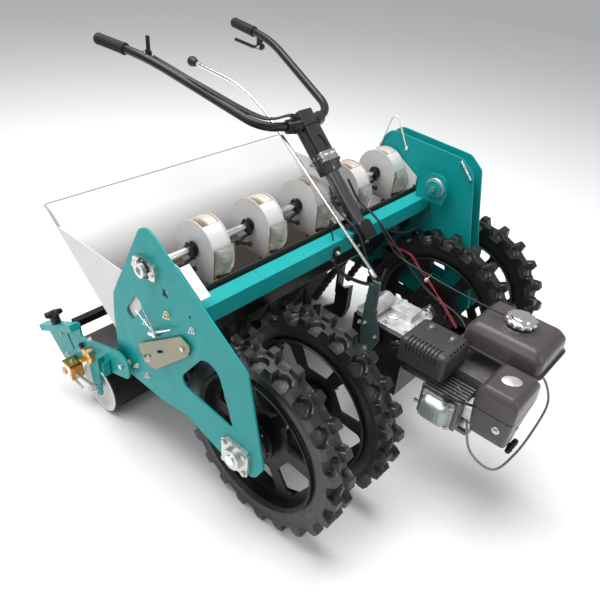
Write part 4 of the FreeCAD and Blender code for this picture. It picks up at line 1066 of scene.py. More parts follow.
def lower_column():
    """A round lower tube in a square socket that is bolted to the crossbeam."""
    tube, socket = Shape(), Shape()
    tube.lathe(on_column(0.030), COLUMN_AXIS, [(0, 0.016), (0, 0.0215), (0.300, 0.0215), (0.300, 0.016)], 48,
               closed=True)
    socket.loft(on_column(-0.004), COLUMN_AXIS, [(0, rounded_rectangle(0.027, 0.026, 0.006)),
                                                 (0.048, rounded_rectangle(0.027, 0.026, 0.006)),
                                                 (0.056, rounded_rectangle(0.024, 0.023, 0.012))], X)
    beam_low, beam_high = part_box("front_crossbeam")
    socket.block((-0.030, beam_low.y - 0.012, beam_low.z + 0.003),
                 (0.030, beam_low.y - 0.0002, beam_high.z + 0.002))
    socket.block((-0.030, beam_low.y - 0.012, beam_high.z + 0.0002),
                 (0.030, beam_high.y, beam_high.z + 0.004))
    bolts = Shape()
    for x in (-0.021, 0.021):
        bolts.bolt(Vector((x, beam_low.y - 0.012, beam_low.z + 0.012)), -Y, 0.0052, 0.0035)
    tube.piece("column_lower_tube", "gunmetal", "frame", 0.0008, ("lower_handle_column",))
    socket.piece("column_socket", "black_paint", "frame", 0.0012)
    bolts.piece("column_socket_bolts", "zinc", "frame", 0.0004)


def upper_column():
    """The folded upper channel with its curved slot, its sleeve and the handlebar sockets."""
    channel = Shape()
    outer, inner = (0.030, 0.025), (0.0265, 0.0215)
    start, end = CHANNEL_START, CHANNEL_END
    channel.prism(on_column(start), COLUMN_AXIS, rounded_rectangle(*outer, 0.006), end - start, X)
    made = channel.piece("column_upper_channel", "channel_grey", "handle", 0.0, ("upper_handle_column",))
    cutter = Shape()
    cutter.prism(on_column(start - 0.01), COLUMN_AXIS, rounded_rectangle(*inner, 0.004),
                 end - start - 0.002, X)
    arc = [on_column(0.305 + 0.030 * math.sin(t), -0.012 + 0.022 * math.cos(t)) for t in
           (-1.2, -0.8, -0.4, 0.0, 0.4, 0.8, 1.2)]
    for face in (-1, 1):
        slot = [point + COLUMN_NORMAL * 0.024 * face for point in arc]
        rings = []
        for low, point, high in zip([slot[0]] + slot[:-1], slot, slot[1:] + [slot[-1]]):
            along = (high - low).normalized()
            wide = along.cross(COLUMN_NORMAL).normalized() * 0.0042
            deep = COLUMN_NORMAL * 0.006
            rings.append(cutter.ring([point - wide - deep, point + wide - deep, point + wide + deep,
                                      point - wide + deep]))
        cutter.skin(rings)
    carved(made, cutter)
    sleeve = Shape()
    sleeve.lathe(on_column(0.2225), COLUMN_AXIS, [(0, 0.0222), (0, 0.0262), (0.002, 0.0275), (0.050, 0.0275),
                                                (0.052, 0.0262), (0.052, 0.0222)], 48, closed=True)
    sleeve.piece("column_sleeve", "gunmetal", "handle", 0.0006)
    clamp, bolts = Shape(), Shape()
    clamp.loft(on_column(0.252), COLUMN_AXIS, [(0, rounded_rectangle(0.034, 0.0285, 0.008)),
                                              (0.030, rounded_rectangle(0.034, 0.0285, 0.008))], X)
    clamp.block(on_column(0.256, -0.046, -0.006), on_column(0.270, -0.032, 0.012))
    for out in (-1, 1):
        bolts.bolt(on_column(0.267, 0.014 * out, 0.0285), COLUMN_NORMAL, 0.006, 0.004)
        bolts.bolt(on_column(0.267, 0.014 * out, -0.0285), -COLUMN_NORMAL, 0.006, 0.004)
    clamp.piece("column_clamp_band", "zinc", "handle", 0.0014)
    bolts.piece("column_clamp_bolts", "zinc", "handle", 0.0004)
    low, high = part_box("upper_handle_column")
    sockets = Shape()
    for side in (-1, 1):
        start = Vector((side * 0.030, 0.388, 0.897))
        lean = (Vector((side * 0.150, 0.430, 0.905)) - Vector((side * 0.038, 0.392, 0.898))).normalized()
        sockets.lathe(start, lean, [(0, 0.0132), (0, 0.0205), (0.044, 0.0205), (0.046, 0.019),
                                    (0.046, 0.0132)], 36, closed=True)
    sockets.block(on_column(0.386, -0.030, -0.006), on_column(0.416, 0.030, 0.006))
    sockets.piece("handlebar_sockets", "black_paint", "handle", 0.0006)


def clamp_knob():
    """The hand knob that clamps the column."""
    low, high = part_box("column_clamp_knob")
    centre = (low + high) / 2
    knob = Shape()
    place = Vector((high.x, centre.y, centre.z))
    knob.loft(place, -X, [(reach, [(u * k, v * k) for u, v in lobed_outline(0.0145, 0.0022, 6)])
                          for reach, k in ((0, 0.75), (0.002, 0.95), (0.004, 1.0), (0.011, 1.0),
                                           (0.013, 0.9))])
    knob.lathe(place - X * 0.013, -X, [(0, 0.0090), (0.006, 0.0075)], 28)
    knob.lathe(place - X * 0.019, -X, [(0, 0.0040), (high.x - low.x - 0.019, 0.0040)], 20)
    knob.piece("column_clamp_hand_knob", "plastic", "clamp_knob", 0.0, ("column_clamp_knob",), 50)


BAR_CORNERS = ((0.038, 0.392, 0.898), (0.150, 0.430, 0.905), (0.255, 0.800, 1.030), (0.282, 1.010, 1.046))


def handle_bars():
    """Bent tube bars, one to each side, with ribbed grips at their ends."""
    bars, grips = Shape(), Shape()
    for side in (-1, 1):
        corners = [Vector((x * side, y, z)) for x, y, z in BAR_CORNERS]
        path = rounded_path(corners, 0.085, 10)
        bars.tube(path, 0.013, 24)
        end, back = corners[-1], (corners[2] - corners[-1]).normalized()
        ribs = [(-0.0035, 0.0), (-0.0035, 0.012), (-0.001, 0.0165), (0.003, 0.0178), (0.008, 0.0172)]
        reach = 0.010
        while reach < 0.104:
            ribs += [(reach, 0.0158), (reach + 0.0015, 0.0172), (reach + 0.0055, 0.0172),
                     (reach + 0.007, 0.0158)]
            reach += 0.0078
        ribs += [(0.112, 0.0160), (0.114, 0.0180), (0.120, 0.0180), (0.122, 0.0160), (0.122, 0.0134)]
        grips.lathe(end, back, ribs, 32)
    bars.piece("bent_handlebars", "black_paint", "handle", 0.0, ("handlebars",), 60)
    grips.piece("ribbed_hand_grips", "rubber", "handle", 0.0, ("handle_grips",), 40)


def handle_controls():
    """The clamp, pivot screw and cable barrel of each hand control."""
    brackets, screws = Shape(), Shape()
    pivot = Vector((0.262, 0.852, 0.994))
    brackets.block(pivot + mm(-9, -12, -8), pivot + mm(-1, 12, 34))
    screws.bolt(pivot + mm(-9, 0, 0), -X, 0.0045, 0.003)
    throttle = Vector((-0.232, 0.830, 1.034))
    brackets.block(throttle + mm(-11, -10, -14), throttle + mm(-1, 10, 6))
    screws.bolt(throttle + mm(-11, 0, 0), -X, 0.0045, 0.003)
    brackets.piece("hand_control_brackets", "black_paint", "handle", 0.0012)
    screws.piece("hand_control_screws", "zinc", "handle", 0.0003)


def gear_rod():
    """The bright round rod with its black ball, hooked end and clevis."""
    rod, ball, clevis = Shape(), Shape(), Shape()
    bottom, waist, knee, top = mm(-76.5, 20, 566), mm(-60, 500, 915), mm(-60, 620, 968), mm(-52, 838, 985)
    path = rounded_path([bottom + mm(0, 0, 4), waist, knee, top], 0.06, 8)
    rod.tube(path, 0.0058, 16)
    ball.lathe(top - (top - knee).normalized() * 0.004, (top - knee).normalized(),
               [(-0.012, 0.0075), (-0.008, 0.011)] + [(0.0165 * (1 - math.cos(math.pi * (0.28
                                        + 0.72 * k / 12))) - 0.006,
                                                      0.0165 * math.sin(math.pi * (0.28 + 0.72 * k / 12)))
                                                     for k in range(13)], 32)
    lean = (waist - bottom).normalized()
    clevis.lathe(bottom + lean * 0.004, lean, [(0, 0.0065), (0.002, 0.0085), (0.024, 0.0085),
                                               (0.027, 0.0062)], 24)
    rod.piece("gear_rod_bar", "chrome", "gear_rod", 0.0, ("gear_lever",), 60)
    ball.piece("gear_rod_ball", "plastic", "gear_rod", 0.0, (), 60)
    clevis.piece("gear_rod_collar", "zinc", "gear_rod", 0.0004)


# ---------------------------------------------------------------- gearbox

def shift_plate():
    """The wide folded shift plate that carries the arm, with its screws and end pin."""
    low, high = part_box("gearbox_shift_arm")
    pivot = Vector((low.x, (low.y + high.y) / 2, low.z + 0.020))
    plate, bolts = Shape(), Shape()
    outline = [(-0.020, -0.012), (-0.046, 0.052), (-0.040, 0.084), (-0.012, 0.150), (0.002, 0.224),
               (0.020, 0.226), (0.024, 0.150), (0.026, 0.060), (0.018, -0.012)]
    plate.loft(pivot - X * 0.0032, X, [(0, outline), (0.0032, outline)], Y)
    bolts.bolt(pivot - X * 0.0032, -X, 0.0085, 0.006)
    for y, z in ((-0.030, 0.060), (0.012, 0.090)):
        bolts.bolt(pivot + Vector((-0.0032, y, z)), -X, 0.0050, 0.0035)
    plate.piece("shift_arm_plate", "shift_teal", "shift_arm", 0.0006)
    bolts.piece("shift_arm_bolts", "zinc", "shift_arm", 0.0003)


def gearbox_dressing():
    """Cover and side bolts, a round filler boss and ribs on the gearbox cover."""
    case_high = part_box("gearbox_case")[1]
    bolts, boss, ribs = Shape(), Shape(), Shape()
    top = GEARBOX_COVER_TOP
    for x, y in ((-64, -104), (-64, -30), (64, -104), (64, -20), (64, 62), (-20, -106), (24, -106)):
        bolts.bolt(Vector((x / 1000, y / 1000, top)), Z, 0.0062, 0.0045)
    boss.lathe(Vector((-0.018, -0.030, top - 0.001)), Z, [(0, 0.019), (0.003, 0.019), (0.004, 0.0175),
                                                          (0.004, 0.0)], 36)
    boss.lathe(Vector((-0.018, -0.030, top + 0.003)), Z, [(0, 0.011), (0.0018, 0.010)], 30)
    for k in range(4):
        y = -0.095 + 0.030 * k
        ribs.block((0.052, y, top - 0.001), (0.072, y + 0.004, top + 0.007))
    for side in (-1, 1):
        for y, z in ((-0.190, 0.385), (-0.090, 0.395), (0.050, 0.395), (-0.190, 0.235), (0.050, 0.235)):
            bolts.bolt(Vector((side * case_high.x, y, z)), X * side, 0.0062, 0.0045)
    bolts.piece("gearbox_bolts", "zinc", "frame", 0.0004)
    boss.piece("gearbox_filler_boss", "aluminium", "frame", 0.0008)
    ribs.piece("gearbox_cover_ribs", "aluminium", "frame", 0.0012)


# ---------------------------------------------------------------- engine

def fuel_tank():
    """A pressed tank: soft shoulders, a seam flange low down and a raised seat for the cap."""
    low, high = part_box("fuel_tank")
    body_low, body_high = 0.457, 0.545
    low, high = low - mm(0, 6, 0), high + mm(10, 8, 0)
    middle = Vector(((low.x + high.x) / 2, (low.y + high.y) / 2, body_low))
    half_x, half_y = (high.x - low.x) / 2, (high.y - low.y) / 2
    tank = Shape()
    depth = body_high - body_low
    steps = [(0.0, 0.022, 0.020), (0.004, 0.013, 0.022), (0.012, 0.0080, 0.022), (0.018, 0.007, 0.022),
             (0.0182, 0.0, 0.024), (0.0206, 0.0, 0.024), (0.0208, 0.007, 0.022), (0.050, 0.008, 0.022),
             (depth - 0.026, 0.0095, 0.022), (depth - 0.020, 0.0120, 0.021), (depth - 0.006, 0.0235, 0.018),
             (depth - 0.002, 0.0285, 0.017), (depth, 0.036, 0.015)]
    tank.loft(middle, Z, [(reach, rounded_rectangle(half_x - inset, half_y - inset, corner, 7))
                          for reach, inset, corner in steps], X)
    cap_low, cap_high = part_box("fuel_cap")
    cap = Vector(((cap_low.x + cap_high.x) / 2, (cap_low.y + cap_high.y) / 2, body_high - 0.001))
    tank.lathe(cap, Z, [(0, 0.047), (0.003, 0.0455), (0.0045, 0.042), (0.0045, 0.031), (0.010, 0.030),
                        (0.0105, 0.026), (0, 0.026)], 56, closed=True)
    tank.block((low.x + 0.022, low.y + 0.040, 0.431), (low.x + 0.030, low.y + 0.080, body_low + 0.008))
    tank.block((high.x - 0.060, high.y - 0.060, 0.431), (high.x - 0.020, high.y - 0.030, body_low + 0.008))
    tank.piece("fuel_tank_shell", "tank", "frame", 0.0, ("fuel_tank",), 60)
    band = Shape()
    band.block((low.x + 0.006, middle.y - 0.055, body_low - 0.004),
               (high.x - 0.006, middle.y - 0.025, body_low + 0.0005))
    band.piece("fuel_tank_cradle", "black_paint", "frame", 0.001)


def fuel_cap():
    """The lobed cap on the tank's neck."""
    low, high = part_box("fuel_cap")
    place = Vector(((low.x + high.x) / 2, (low.y + high.y) / 2, low.z))
    cap = Shape()
    skirt = []
    for reach, radius, bite in ((0.0, 0.0425, 0.0020), (0.0015, 0.0440, 0.0024), (0.009, 0.0440, 0.0024),
                                (0.0120, 0.0422, 0.0018), (0.0132, 0.0390, 0.0010), (0.0136, 0.0350, 0.0),
                                (0.0126, 0.0320, 0.0), (0.0126, 0.0290, 0.0), (0.0180, 0.0265, 0.0),
                                (0.0196, 0.0230, 0.0)):
        skirt.append((reach, lobed_outline(radius - bite, bite, 12, 144)))
    cap.loft(place, Z, skirt)
    cap.piece("fuel_cap_shell", "chrome", "filler_cap", 0.0, ("fuel_cap",), 40)


def air_cleaner():
    """One tapered moulding with a parting seam, a lower tray, a screw and a blank badge."""
    low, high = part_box("air_cleaner")
    centre = Vector(((low.x + high.x) / 2, (low.y + high.y) / 2, low.z))
    height = high.z - low.z
    half_y = (high.y - low.y) / 2
    body = Shape()
    steps = [(0.000, 0.010, 0.024), (0.006, 0.006, 0.018), (0.040, 0.004, 0.010), (0.094, 0.001, 0.002),
             (0.098, 0.001, 0.001), (0.0985, 0.0035, 0.0035), (0.1010, 0.0035, 0.0035),
             (0.1015, 0.001, 0.001),
             (0.106, 0.0, 0.0), (0.148, 0.002, 0.002), (0.154, 0.0040, 0.0030), (0.1650, 0.0125, 0.0095),
             (0.1685, 0.0160, 0.0120), (height, 0.0200, 0.0155)]
    rings = []
    for reach, inset, near in steps:
        slant = 0.060 * (1 - ramp(reach, 0.060, 0.100))
        half_x = (high.x - low.x - near - inset - slant) / 2
        middle_x = low.x + near + half_x
        outline = rounded_rectangle(half_x, half_y - inset, 0.011, 6)
        rings.append(body.ring([Vector((middle_x + u, centre.y + v, low.z + reach)) for u, v in outline]))
    body.skin(rings)
    body.piece("air_cleaner_moulding", "tank", "frame", 0.0, ("air_cleaner",), 50)
    details = Shape()
    details.lathe(Vector((low.x + 0.006, centre.y - 0.020, low.z + 0.060)), -X,
                  [(0, 0.011), (0.002, 0.010)], 28)
    details.hexagon(Vector((low.x + 0.004, centre.y - 0.020, low.z + 0.060)), -X, 0.0065, 0.005)
    details.hexagon(Vector((centre.x - 0.010, low.y + 0.003, low.z + 0.052)), -Y, 0.0060, 0.004)
    details.piece("air_cleaner_screws", "zinc", "frame", 0.0004)
    badge = Shape()
    oval = [(0.026 * math.cos(TAU * k / 48), 0.019 * math.sin(TAU * k / 48)) for k in range(48)]
    badge.loft(Vector((centre.x, centre.y, high.z - 0.0004)), Z,
               [(0, oval), (0.0012, oval), (0.0019, [(0.93 * u, 0.91 * v) for u, v in oval])],
               Vector((0.6, -0.8, 0)))
    badge.piece("air_cleaner_blank_badge", "aluminium", "frame")


def muffler_shield():
    """A ribbed sheet box: slots over its near edge, oval holes along both sides, two dimpled screws."""
    low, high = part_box("muffler_shield")
    centre = (low + high) / 2
    half_x, half_y = (high.x - low.x) / 2, (high.y - low.y) / 2
    height = high.z - low.z
    shell = Shape()
    steps = [(0, 0.0, 0.012), (height - 0.014, 0.0, 0.012), (height - 0.006, 0.003, 0.012),
             (height - 0.002, 0.008, 0.010), (height, 0.014, 0.008)]
    shell.loft(Vector((centre.x, centre.y, low.z)), Z,
               [(reach, rounded_rectangle(half_x - inset, half_y - inset, corner)) for reach, inset,
                corner in steps], X)
    made = shell.piece("muffler_heat_shield", "shield", "frame", 0.0, ("muffler_shield",), 50)
    cutter = Shape()
    wall = 0.003
    cutter.loft(Vector((centre.x, centre.y, low.z - 0.002)), Z,
                [(0, rounded_rectangle(half_x - wall, half_y - wall, 0.010)),
                 (height - 0.012, rounded_rectangle(half_x - wall, half_y - wall, 0.010)),
                 (height - 0.002, rounded_rectangle(half_x - 0.014, half_y - 0.014, 0.008))], X)
    for k in range(9):
        y = low.y + 0.028 + 0.0112 * k
        cutter.block((low.x - 0.01, y, high.z - 0.034), (low.x + 0.030, y + 0.0052, high.z + 0.01))
    for side in (-1, 1):
        y = centre.y + side * (half_y - 0.006)
        for k in range(6):
            x = low.x + 0.034 + 0.0165 * k
            cutter.loft(Vector((x, y - 0.010 * side, high.z - 0.010)), Vector((0, side, 0.55)),
                        [(-0.02, rounded_rectangle(0.0052, 0.0026, 0.0025)),
                         (0.03, rounded_rectangle(0.0052, 0.0026, 0.0025))], X)
    carved(made, cutter)
    dimples, screws = Shape(), Shape()
    for x, y in ((0.026, -0.034), (0.030, 0.034)):
        spot = Vector((centre.x + x, centre.y + y, high.z - 0.0004))
        dimples.lathe(spot, Z, [(0, 0.0180), (0.0016, 0.0172), (0.0026, 0.0150), (0.0018, 0.0120),
                                (0.0006, 0.0095), (0.0006, 0)], 36)
        screws.lathe(spot + Z * 0.0006, Z, [(0, 0.0060), (0.0014, 0.0056)], 28)
        screws.hexagon(spot + Z * 0.0018, Z, 0.0042, 0.0032)
    dimples.piece("shield_dimples", "shield", "frame")
    screws.piece("shield_screws", "zinc", "frame", 0.0003)
    pipe = Shape()
    pipe.tube(curved_path([Vector((low.x + 0.030, centre.y + 0.060, low.z + 0.030)),
                           Vector((low.x + 0.010, centre.y + 0.085, low.z + 0.032)),
                           Vector((low.x - 0.004, centre.y + 0.090, low.z + 0.034))], 6), 0.0085, 18)
    pipe.piece("exhaust_outlet", "black_paint", "frame")


def valve_cover():
    """A silver-green rocker cover: flange, four bolts, a stepped dome and ribs on the dome."""
    low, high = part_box("valve_cover")
    centre = (low + high) / 2
    half_y, half_z = (high.y - low.y) / 2, (high.z - low.z) / 2
    depth = high.x - low.x
    cover, bolts = Shape(), Shape()
    steps = [(0, 0.0, 0.016), (0.006, 0.0, 0.016), (0.0062, 0.006, 0.014), (0.010, 0.007, 0.014),
             (depth - 0.007, 0.012, 0.014), (depth - 0.003, 0.016, 0.013), (depth, 0.022, 0.012)]
    cover.loft(Vector((high.x, centre.y, centre.z)), -X,
               [(reach, rounded_rectangle(half_y - inset, half_z - inset, corner)) for reach, inset,
                corner in steps], Y)
    for k in range(5):
        y = centre.y - 0.022 + 0.011 * k
        cover.block((low.x - 0.0002, y - 0.0016, centre.z - 0.012),
                    (low.x + 0.004, y + 0.0016, centre.z + 0.012))
    for y in (-1, 1):
        for z in (-1, 1):
            spot = Vector((high.x - 0.006, centre.y + y * (half_y - 0.008), centre.z + z * (half_z - 0.008)))
            cover.lathe(spot + X * 0.006, -X, [(0, 0.0095), (0.0065, 0.0095)], 24)
            bolts.bolt(spot, -X, 0.0058, 0.0045)
    cover.piece("rocker_cover", "valve_cover", "frame", 0.0006, ("valve_cover",), 50)
    bolts.piece("rocker_cover_bolts", "zinc", "frame", 0.0004)


def recoil_housing():
    """The black fan cowl: a pressed pan with curved vents, a raised hub and its grip's guide."""
    low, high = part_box("recoil_starter_cover")
    centre = (low + high) / 2
    radius = (high.z - low.z) / 2
    depth = high.y - low.y
    cowl = Shape()
    place = Vector((centre.x, high.y, centre.z))
    cowl.lathe(place, -Y, [(0, radius - 0.010), (0, radius), (0.046, radius), (0.060, radius - 0.004),
                           (0.070, radius - 0.014), (0.082, radius - 0.022), (0.088, radius - 0.030),
                           (0.090, radius - 0.046), (0.0905, 0.030), (depth - 0.002, 0.027), (depth, 0.022),
                           (depth, 0.0), (depth - 0.004, 0.0), (0.084, 0.030), (0.082, radius - 0.040),
                           (0.060, radius - 0.012), (0.040, radius - 0.008)], 72, closed=True)
    made = cowl.piece("recoil_cowl", "engine_black", "frame", 0.0, ("recoil_starter_cover",), 40)
    cutter = Shape()
    for k in range(14):
        turn = TAU * k / 14
        rows = []
        for step in range(5):
            t = step / 4
            angle = turn + 0.30 * t
            reach = 0.038 + 0.034 * t
            middle = Vector((math.cos(angle), 0, math.sin(angle))) * reach
            across = Vector((-math.sin(angle), 0, math.cos(angle))) * (0.0026 + 0.0018 * t)
            rows.append(cutter.ring([place + middle + across - Y * y if side else place
                                     + middle - across - Y * y
                                     for side, y in ((0, 0.072), (1, 0.072), (1, 0.115), (0, 0.115))]))
        cutter.skin(rows)
    carved(made, cutter)
    screws, guide = Shape(), Shape()
    for k in range(4):
        turn = TAU * (k + 0.5) / 4
        spot = place - Y * 0.030 + Vector((math.cos(turn), 0, math.sin(turn))) * (radius - 0.002)
        out = Vector((math.cos(turn), 0, math.sin(turn)))
        screws.bolt(spot, out, 0.0052, 0.004)
    grip_low, grip_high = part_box("recoil_handle")
    guide.lathe(Vector(((grip_low.x + grip_high.x) / 2, grip_high.y + 0.001,
                        (grip_low.z + grip_high.z) / 2)), Y,
                [(0, 0.004), (0, 0.010), (0.003, 0.012), (0.014, 0.012), (0.014, 0.004)], 28, closed=True)
    screws.piece("recoil_cowl_screws", "zinc", "frame", 0.0003)
    guide.piece("recoil_rope_guide", "black_paint", "frame", 0.0006)


def pull_grip():
    """A T grip with finger scallops, on its rope's plug."""
    low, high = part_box("recoil_handle")
    centre = (low + high) / 2
    length = high.x - low.x
    grip = Shape()
    count = 28
    radius = (high.z - low.z) / 2
    profile = []
    for k in range(count + 1):
        t = k / count
        end = min(t, 1 - t)
        swell = 0.90 + 0.10 * math.cos(TAU * 4 * t)
        taper = math.sqrt(end / GRIP_END) if end < GRIP_END else 1
        profile.append((length * t, radius * swell * taper))
    grip.lathe(Vector((low.x, high.y - 0.025 + radius, centre.z)), X, profile, 28)
    grip.lathe(Vector((centre.x, high.y - 0.014, centre.z)), Y,
               [(0, 0.0085), (0.012, 0.0065), (0.0135, 0.0050)], 24)
    grip.piece("pull_start_grip", "rubber", "pull_start", 0.0, ("recoil_handle",), 50)


def engine_details():
    """The spark plug's cap and lead, the governor linkage, studs and block bolts."""
    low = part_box("engine_block")[0]
    cover_low, cover_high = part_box("valve_cover")
    plug = Vector((cover_high.x + 0.006, cover_low.y + 0.030, cover_high.z + 0.004))
    cap, lead, metal, silver = Shape(), Shape(), Shape(), Shape()
    lean = Vector((-0.70, -0.10, 0.70)).normalized()
    cap.lathe(plug, lean, [(0, 0.008), (0.002, 0.0105), (0.018, 0.0105), (0.024, 0.0085), (0.030, 0.008)],
              28)
    lead.tube(curved_path([plug + lean * 0.026, plug + lean * 0.040 - Y * 0.010, plug + mm(-14, -70, 34),
                           plug + mm(30, -98, 6), plug + mm(64, -86, -6)], 8), 0.0036, 12)
    carb = middle_of("carburettor")
    metal.tube([carb + mm(-18, 6, 30), carb + mm(-22, 40, 44), carb + mm(16, 70, 46)], 0.0016, 8)
    metal.tube(helix(carb + mm(-14, 16, 40), carb + mm(14, 58, 52), 0.0034, 16, 10), 0.0006, 6)
    silver.block(carb + mm(-16, 10, 26), carb + mm(-13, 34, 44))
    silver.lathe(carb + mm(0, 0, -46), Z, [(0, 0.014), (0.003, 0.0165), (0.020, 0.0165), (0.024, 0.0145)],
                 32)
    silver.lathe(carb + mm(0, 0, -50), Z, [(0, 0.0045), (0.005, 0.006)], 6)
    for x, y in ((-0.070, -0.360), (-0.070, -0.232), (0.076, -0.360), (0.076, -0.232)):
        silver.bolt(Vector((x, y, low.z + 0.012)), Z, 0.0068, 0.005)
    cap.piece("spark_plug_cap", "rubber", "frame", 0.0, (), 60)
    lead.piece("spark_plug_lead", "rubber", "frame", 0.0, (), 60)
    metal.piece("governor_links", "zinc", "frame")
    silver.piece("carburettor_bowl", "aluminium", "frame", 0.0008)


# ---------------------------------------------------------------- cables and wires

def engine_cables():
    """Sheathed cables that run from the far side and the engine to the column's foot."""
    routes = (
        ("far_side_cable", 0.0030, [(394, 140, 606), (312, 118, 572), (190, 108, 584), (70, 116, 640)]),
        ("stop_switch_cable", 0.0024, [(52, -322, 560), (44, -220, 566), (47, -87, 574), (52, 40, 590),
                                      (50, 118, 664)]),
        ("air_cleaner_cable", 0.0034, [(-130, -362, 350), (-196, -420, 300), (-176, -486, 262),
                                       (-60, -500, 236),
                                       (60, -500, 246), (128, -496, 300), (120, -470, 372),
                                       (80, -440, 420)]),
    )
    for name, radius, points in routes:
        cable = Shape()
        cable.tube(curved_path([mm(*point) for point in points], 10), radius, 12)
        look = "grey_cable" if name == "air_cleaner_cable" else "cable"
        cable.piece(name, look, "frame", 0.0, (), 60)


def red_wires():
    """Two red wires and their white tie."""
    wires = Shape()
    for shift in (0, 6):
        wires.tube(curved_path([mm(70 + shift, 90, 604), mm(84 + shift, 62, 588), mm(104 + shift, 23, 574),
                                mm(64 + shift, -40, 566), mm(24 + shift, -102, 562),
                                mm(-30 - shift, -180, 560),
                                mm(-70 - shift, -250, 540)], 8), 0.0011, 8)
    wires.piece("red_wires", "red", "frame", 0.0, (), 60)
    ties = Shape()
    for spot in (mm(36, -82, 563),):
        ties.lathe(spot, Vector((0.5, 1, 0.1)), [(-0.002, 0.0065), (0.002, 0.0065)], 16)
        ties.tube([spot + mm(4, 0, 4), spot + mm(14, -4, 14)], 0.0009, 6)
    ties.piece("wire_tie", "white_plastic", "frame")


def cable_runs():
    """The control cables: fixed runs at the engine, and the bundle that slides with the handle."""
    bundle = Shape()
    routes = (
        [(-44, 246, 762), (-50, 200, 706), (-52, 118, 664), (-50, 60, 560), (-40, 40, 490)],
        [(44, 246, 762), (50, 200, 706), (54, 118, 664), (56, -60, 530), (52, -190, 492), (30, -236, 480)],
    )
    for route in routes:
        bundle.tube(curved_path([mm(*point) for point in route], 14), 0.0034, 12)
    bundle.piece("lower_cable_runs", "cable", "frame", 0.0, ("control_cables",), 60)
    top = Shape()
    for k in range(3):
        side = -0.0385 - 0.0080 * k
        out = 0.008 + 0.004 * (k % 2)
        top.tube(curved_path([on_column(0.250, side, out), on_column(0.320, side, out),
                              on_column(0.385, side, out),
                              on_column(0.410, side - 0.014, out + 0.016), mm(-120 - 8 * k, 452, 925),
                              mm(-196 - 6 * k, 620, 985), mm(-232, 800, 1032)], 10), 0.0032, 12)
    top.piece("handle_cable_bundle", "cable", "handle", 0.0, (), 60)
    ties = Shape()
    for reach in (0.262, 0.372):
        ring = [on_column(reach, side, out) for side, out in
                ((-0.0685, -0.0005), (-0.0685, 0.0195), (-0.026, 0.0270), (0.032, 0.0270), (0.032, -0.0270),
                 (-0.032, -0.0270))]
        path = ring + [ring[0]]
        ties.tube(path, 0.0013, 6)
    ties.piece("cable_ties", "plastic", "handle")


# ---------------------------------------------------------------- far side

def coil_springs():
    """The chain tensioner springs as real coils with short straight ends."""
    coils = Shape()
    lean = Vector((0, 0.287, 0.958))
    for start in (mm(422, 262, 530), mm(422, 150, 410)):
        end = start + lean * 0.076
        path = [start - lean * 0.006] + helix(start + lean * 0.004, end - lean * 0.004, 0.0070, 13, 12)
        coils.tube(path + [end + lean * 0.004], 0.0016, 8)
    coils.piece("tensioner_coils", "spring", "frame", 0.0, ("tensioner_springs",), 60)


def extra_springs():
    """Return springs that hang inside the chain case, between its two plates."""
    black, bright = Shape(), Shape()
    black.tube(helix(mm(410, 90, 620), mm(410, 51, 529), 0.0062, 17, 12), 0.0014, 8)
    black.tube(helix(mm(410, -12, 388), mm(410, -37, 337), 0.0058, 11, 12), 0.0014, 8)
    bright.tube(helix(mm(388, 60, 792), mm(388, 14, 742), 0.0050, 15, 12), 0.0011, 8)
    black.piece("chain_case_springs", "spring", "frame", 0.0, (), 60)
    bright.piece("far_plate_spring", "chrome", "frame", 0.0, (), 60)


def wire_bail():
    """The white triangular wire bail at the top of the far plate."""
    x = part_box("left_inner_side_plate")[0].x - 0.004
    feet = (Vector((x, 0.376, 0.742)), Vector((x, 0.266, 0.770)))
    apex = (Vector((x - 0.002, 0.338, 0.864)), Vector((x - 0.002, 0.316, 0.866)))
    bail = Shape()
    path = rounded_path([feet[0], apex[0], apex[1], feet[1]], 0.010, 6)
    bail.tube(path, 0.0023, 10)
    for foot in feet:
        bail.lathe(foot - Z * 0.004, Z, [(0, 0.0045), (0.010, 0.0045), (0.012, 0.0030)], 18)
    bail.piece("lid_wire_bail", "white_plastic", "frame", 0.0, (), 60)


def belt_loop(first, first_radius, second, second_radius, steps=26):
    """The closed line of a chain round two wheels in one YZ plane."""
    run = second - first
    reach = run.length
    heading = math.atan2(run.z, run.y)
    lean = math.acos((first_radius - second_radius) / reach)
    points = []
    for centre, radius, start, sweep in ((first, first_radius, heading + lean, TAU - 2 * lean),
                                         (second, second_radius, heading - lean, 2 * lean)):
        for k in range(steps + 1):
            turn = start + sweep * k / steps
            points.append(centre + Vector((0, math.cos(turn), math.sin(turn))) * radius)
    return points


def roller_chain(centre_line, pitch, name):
    """Links and rollers along a closed loop."""
    ends = centre_line[1:] + centre_line[:1]
    lengths = [(b - a).length for a, b in zip(centre_line, ends)]
    count = 2 * round(sum(lengths) / pitch / 2)
    step = sum(lengths) / count
    spots, index, done = [], 0, 0.0
    for k in range(count):
        while done + lengths[index] < k * step:
            done += lengths[index]
            index += 1
        spots.append(centre_line[index].lerp(ends[index], (k * step - done) / lengths[index]))
    chain = Shape()
    for k, spot in enumerate(spots):
        chain.lathe(spot - X * 0.0042, X, [(0, 0.0030), (0.0084, 0.0030)], 10)
        for side in (-1, 1):
            link_plate(chain, spot, spots[(k + 1) % count], X * side * (0.0024 if k % 2 else 0.0036))
    chain.piece(name, "dark_steel", "frame", 0.0, (), 50)


def link_plate(chain, start, end, shift):
    """One flat chain link with round ends."""
    along = (end - start).normalized()
    across = X.cross(along)
    outline = []
    for middle, sign in ((end, 1), (start, -1)):
        for k in range(7):
            turn = math.pi * (k / 6 - 0.5)
            outline.append(middle + (along * math.cos(turn) + across * math.sin(turn)) * sign * 0.0044)
    chain.skin([chain.ring([point + shift + X * side * 0.0005 for point in outline]) for side in (-1, 1)])


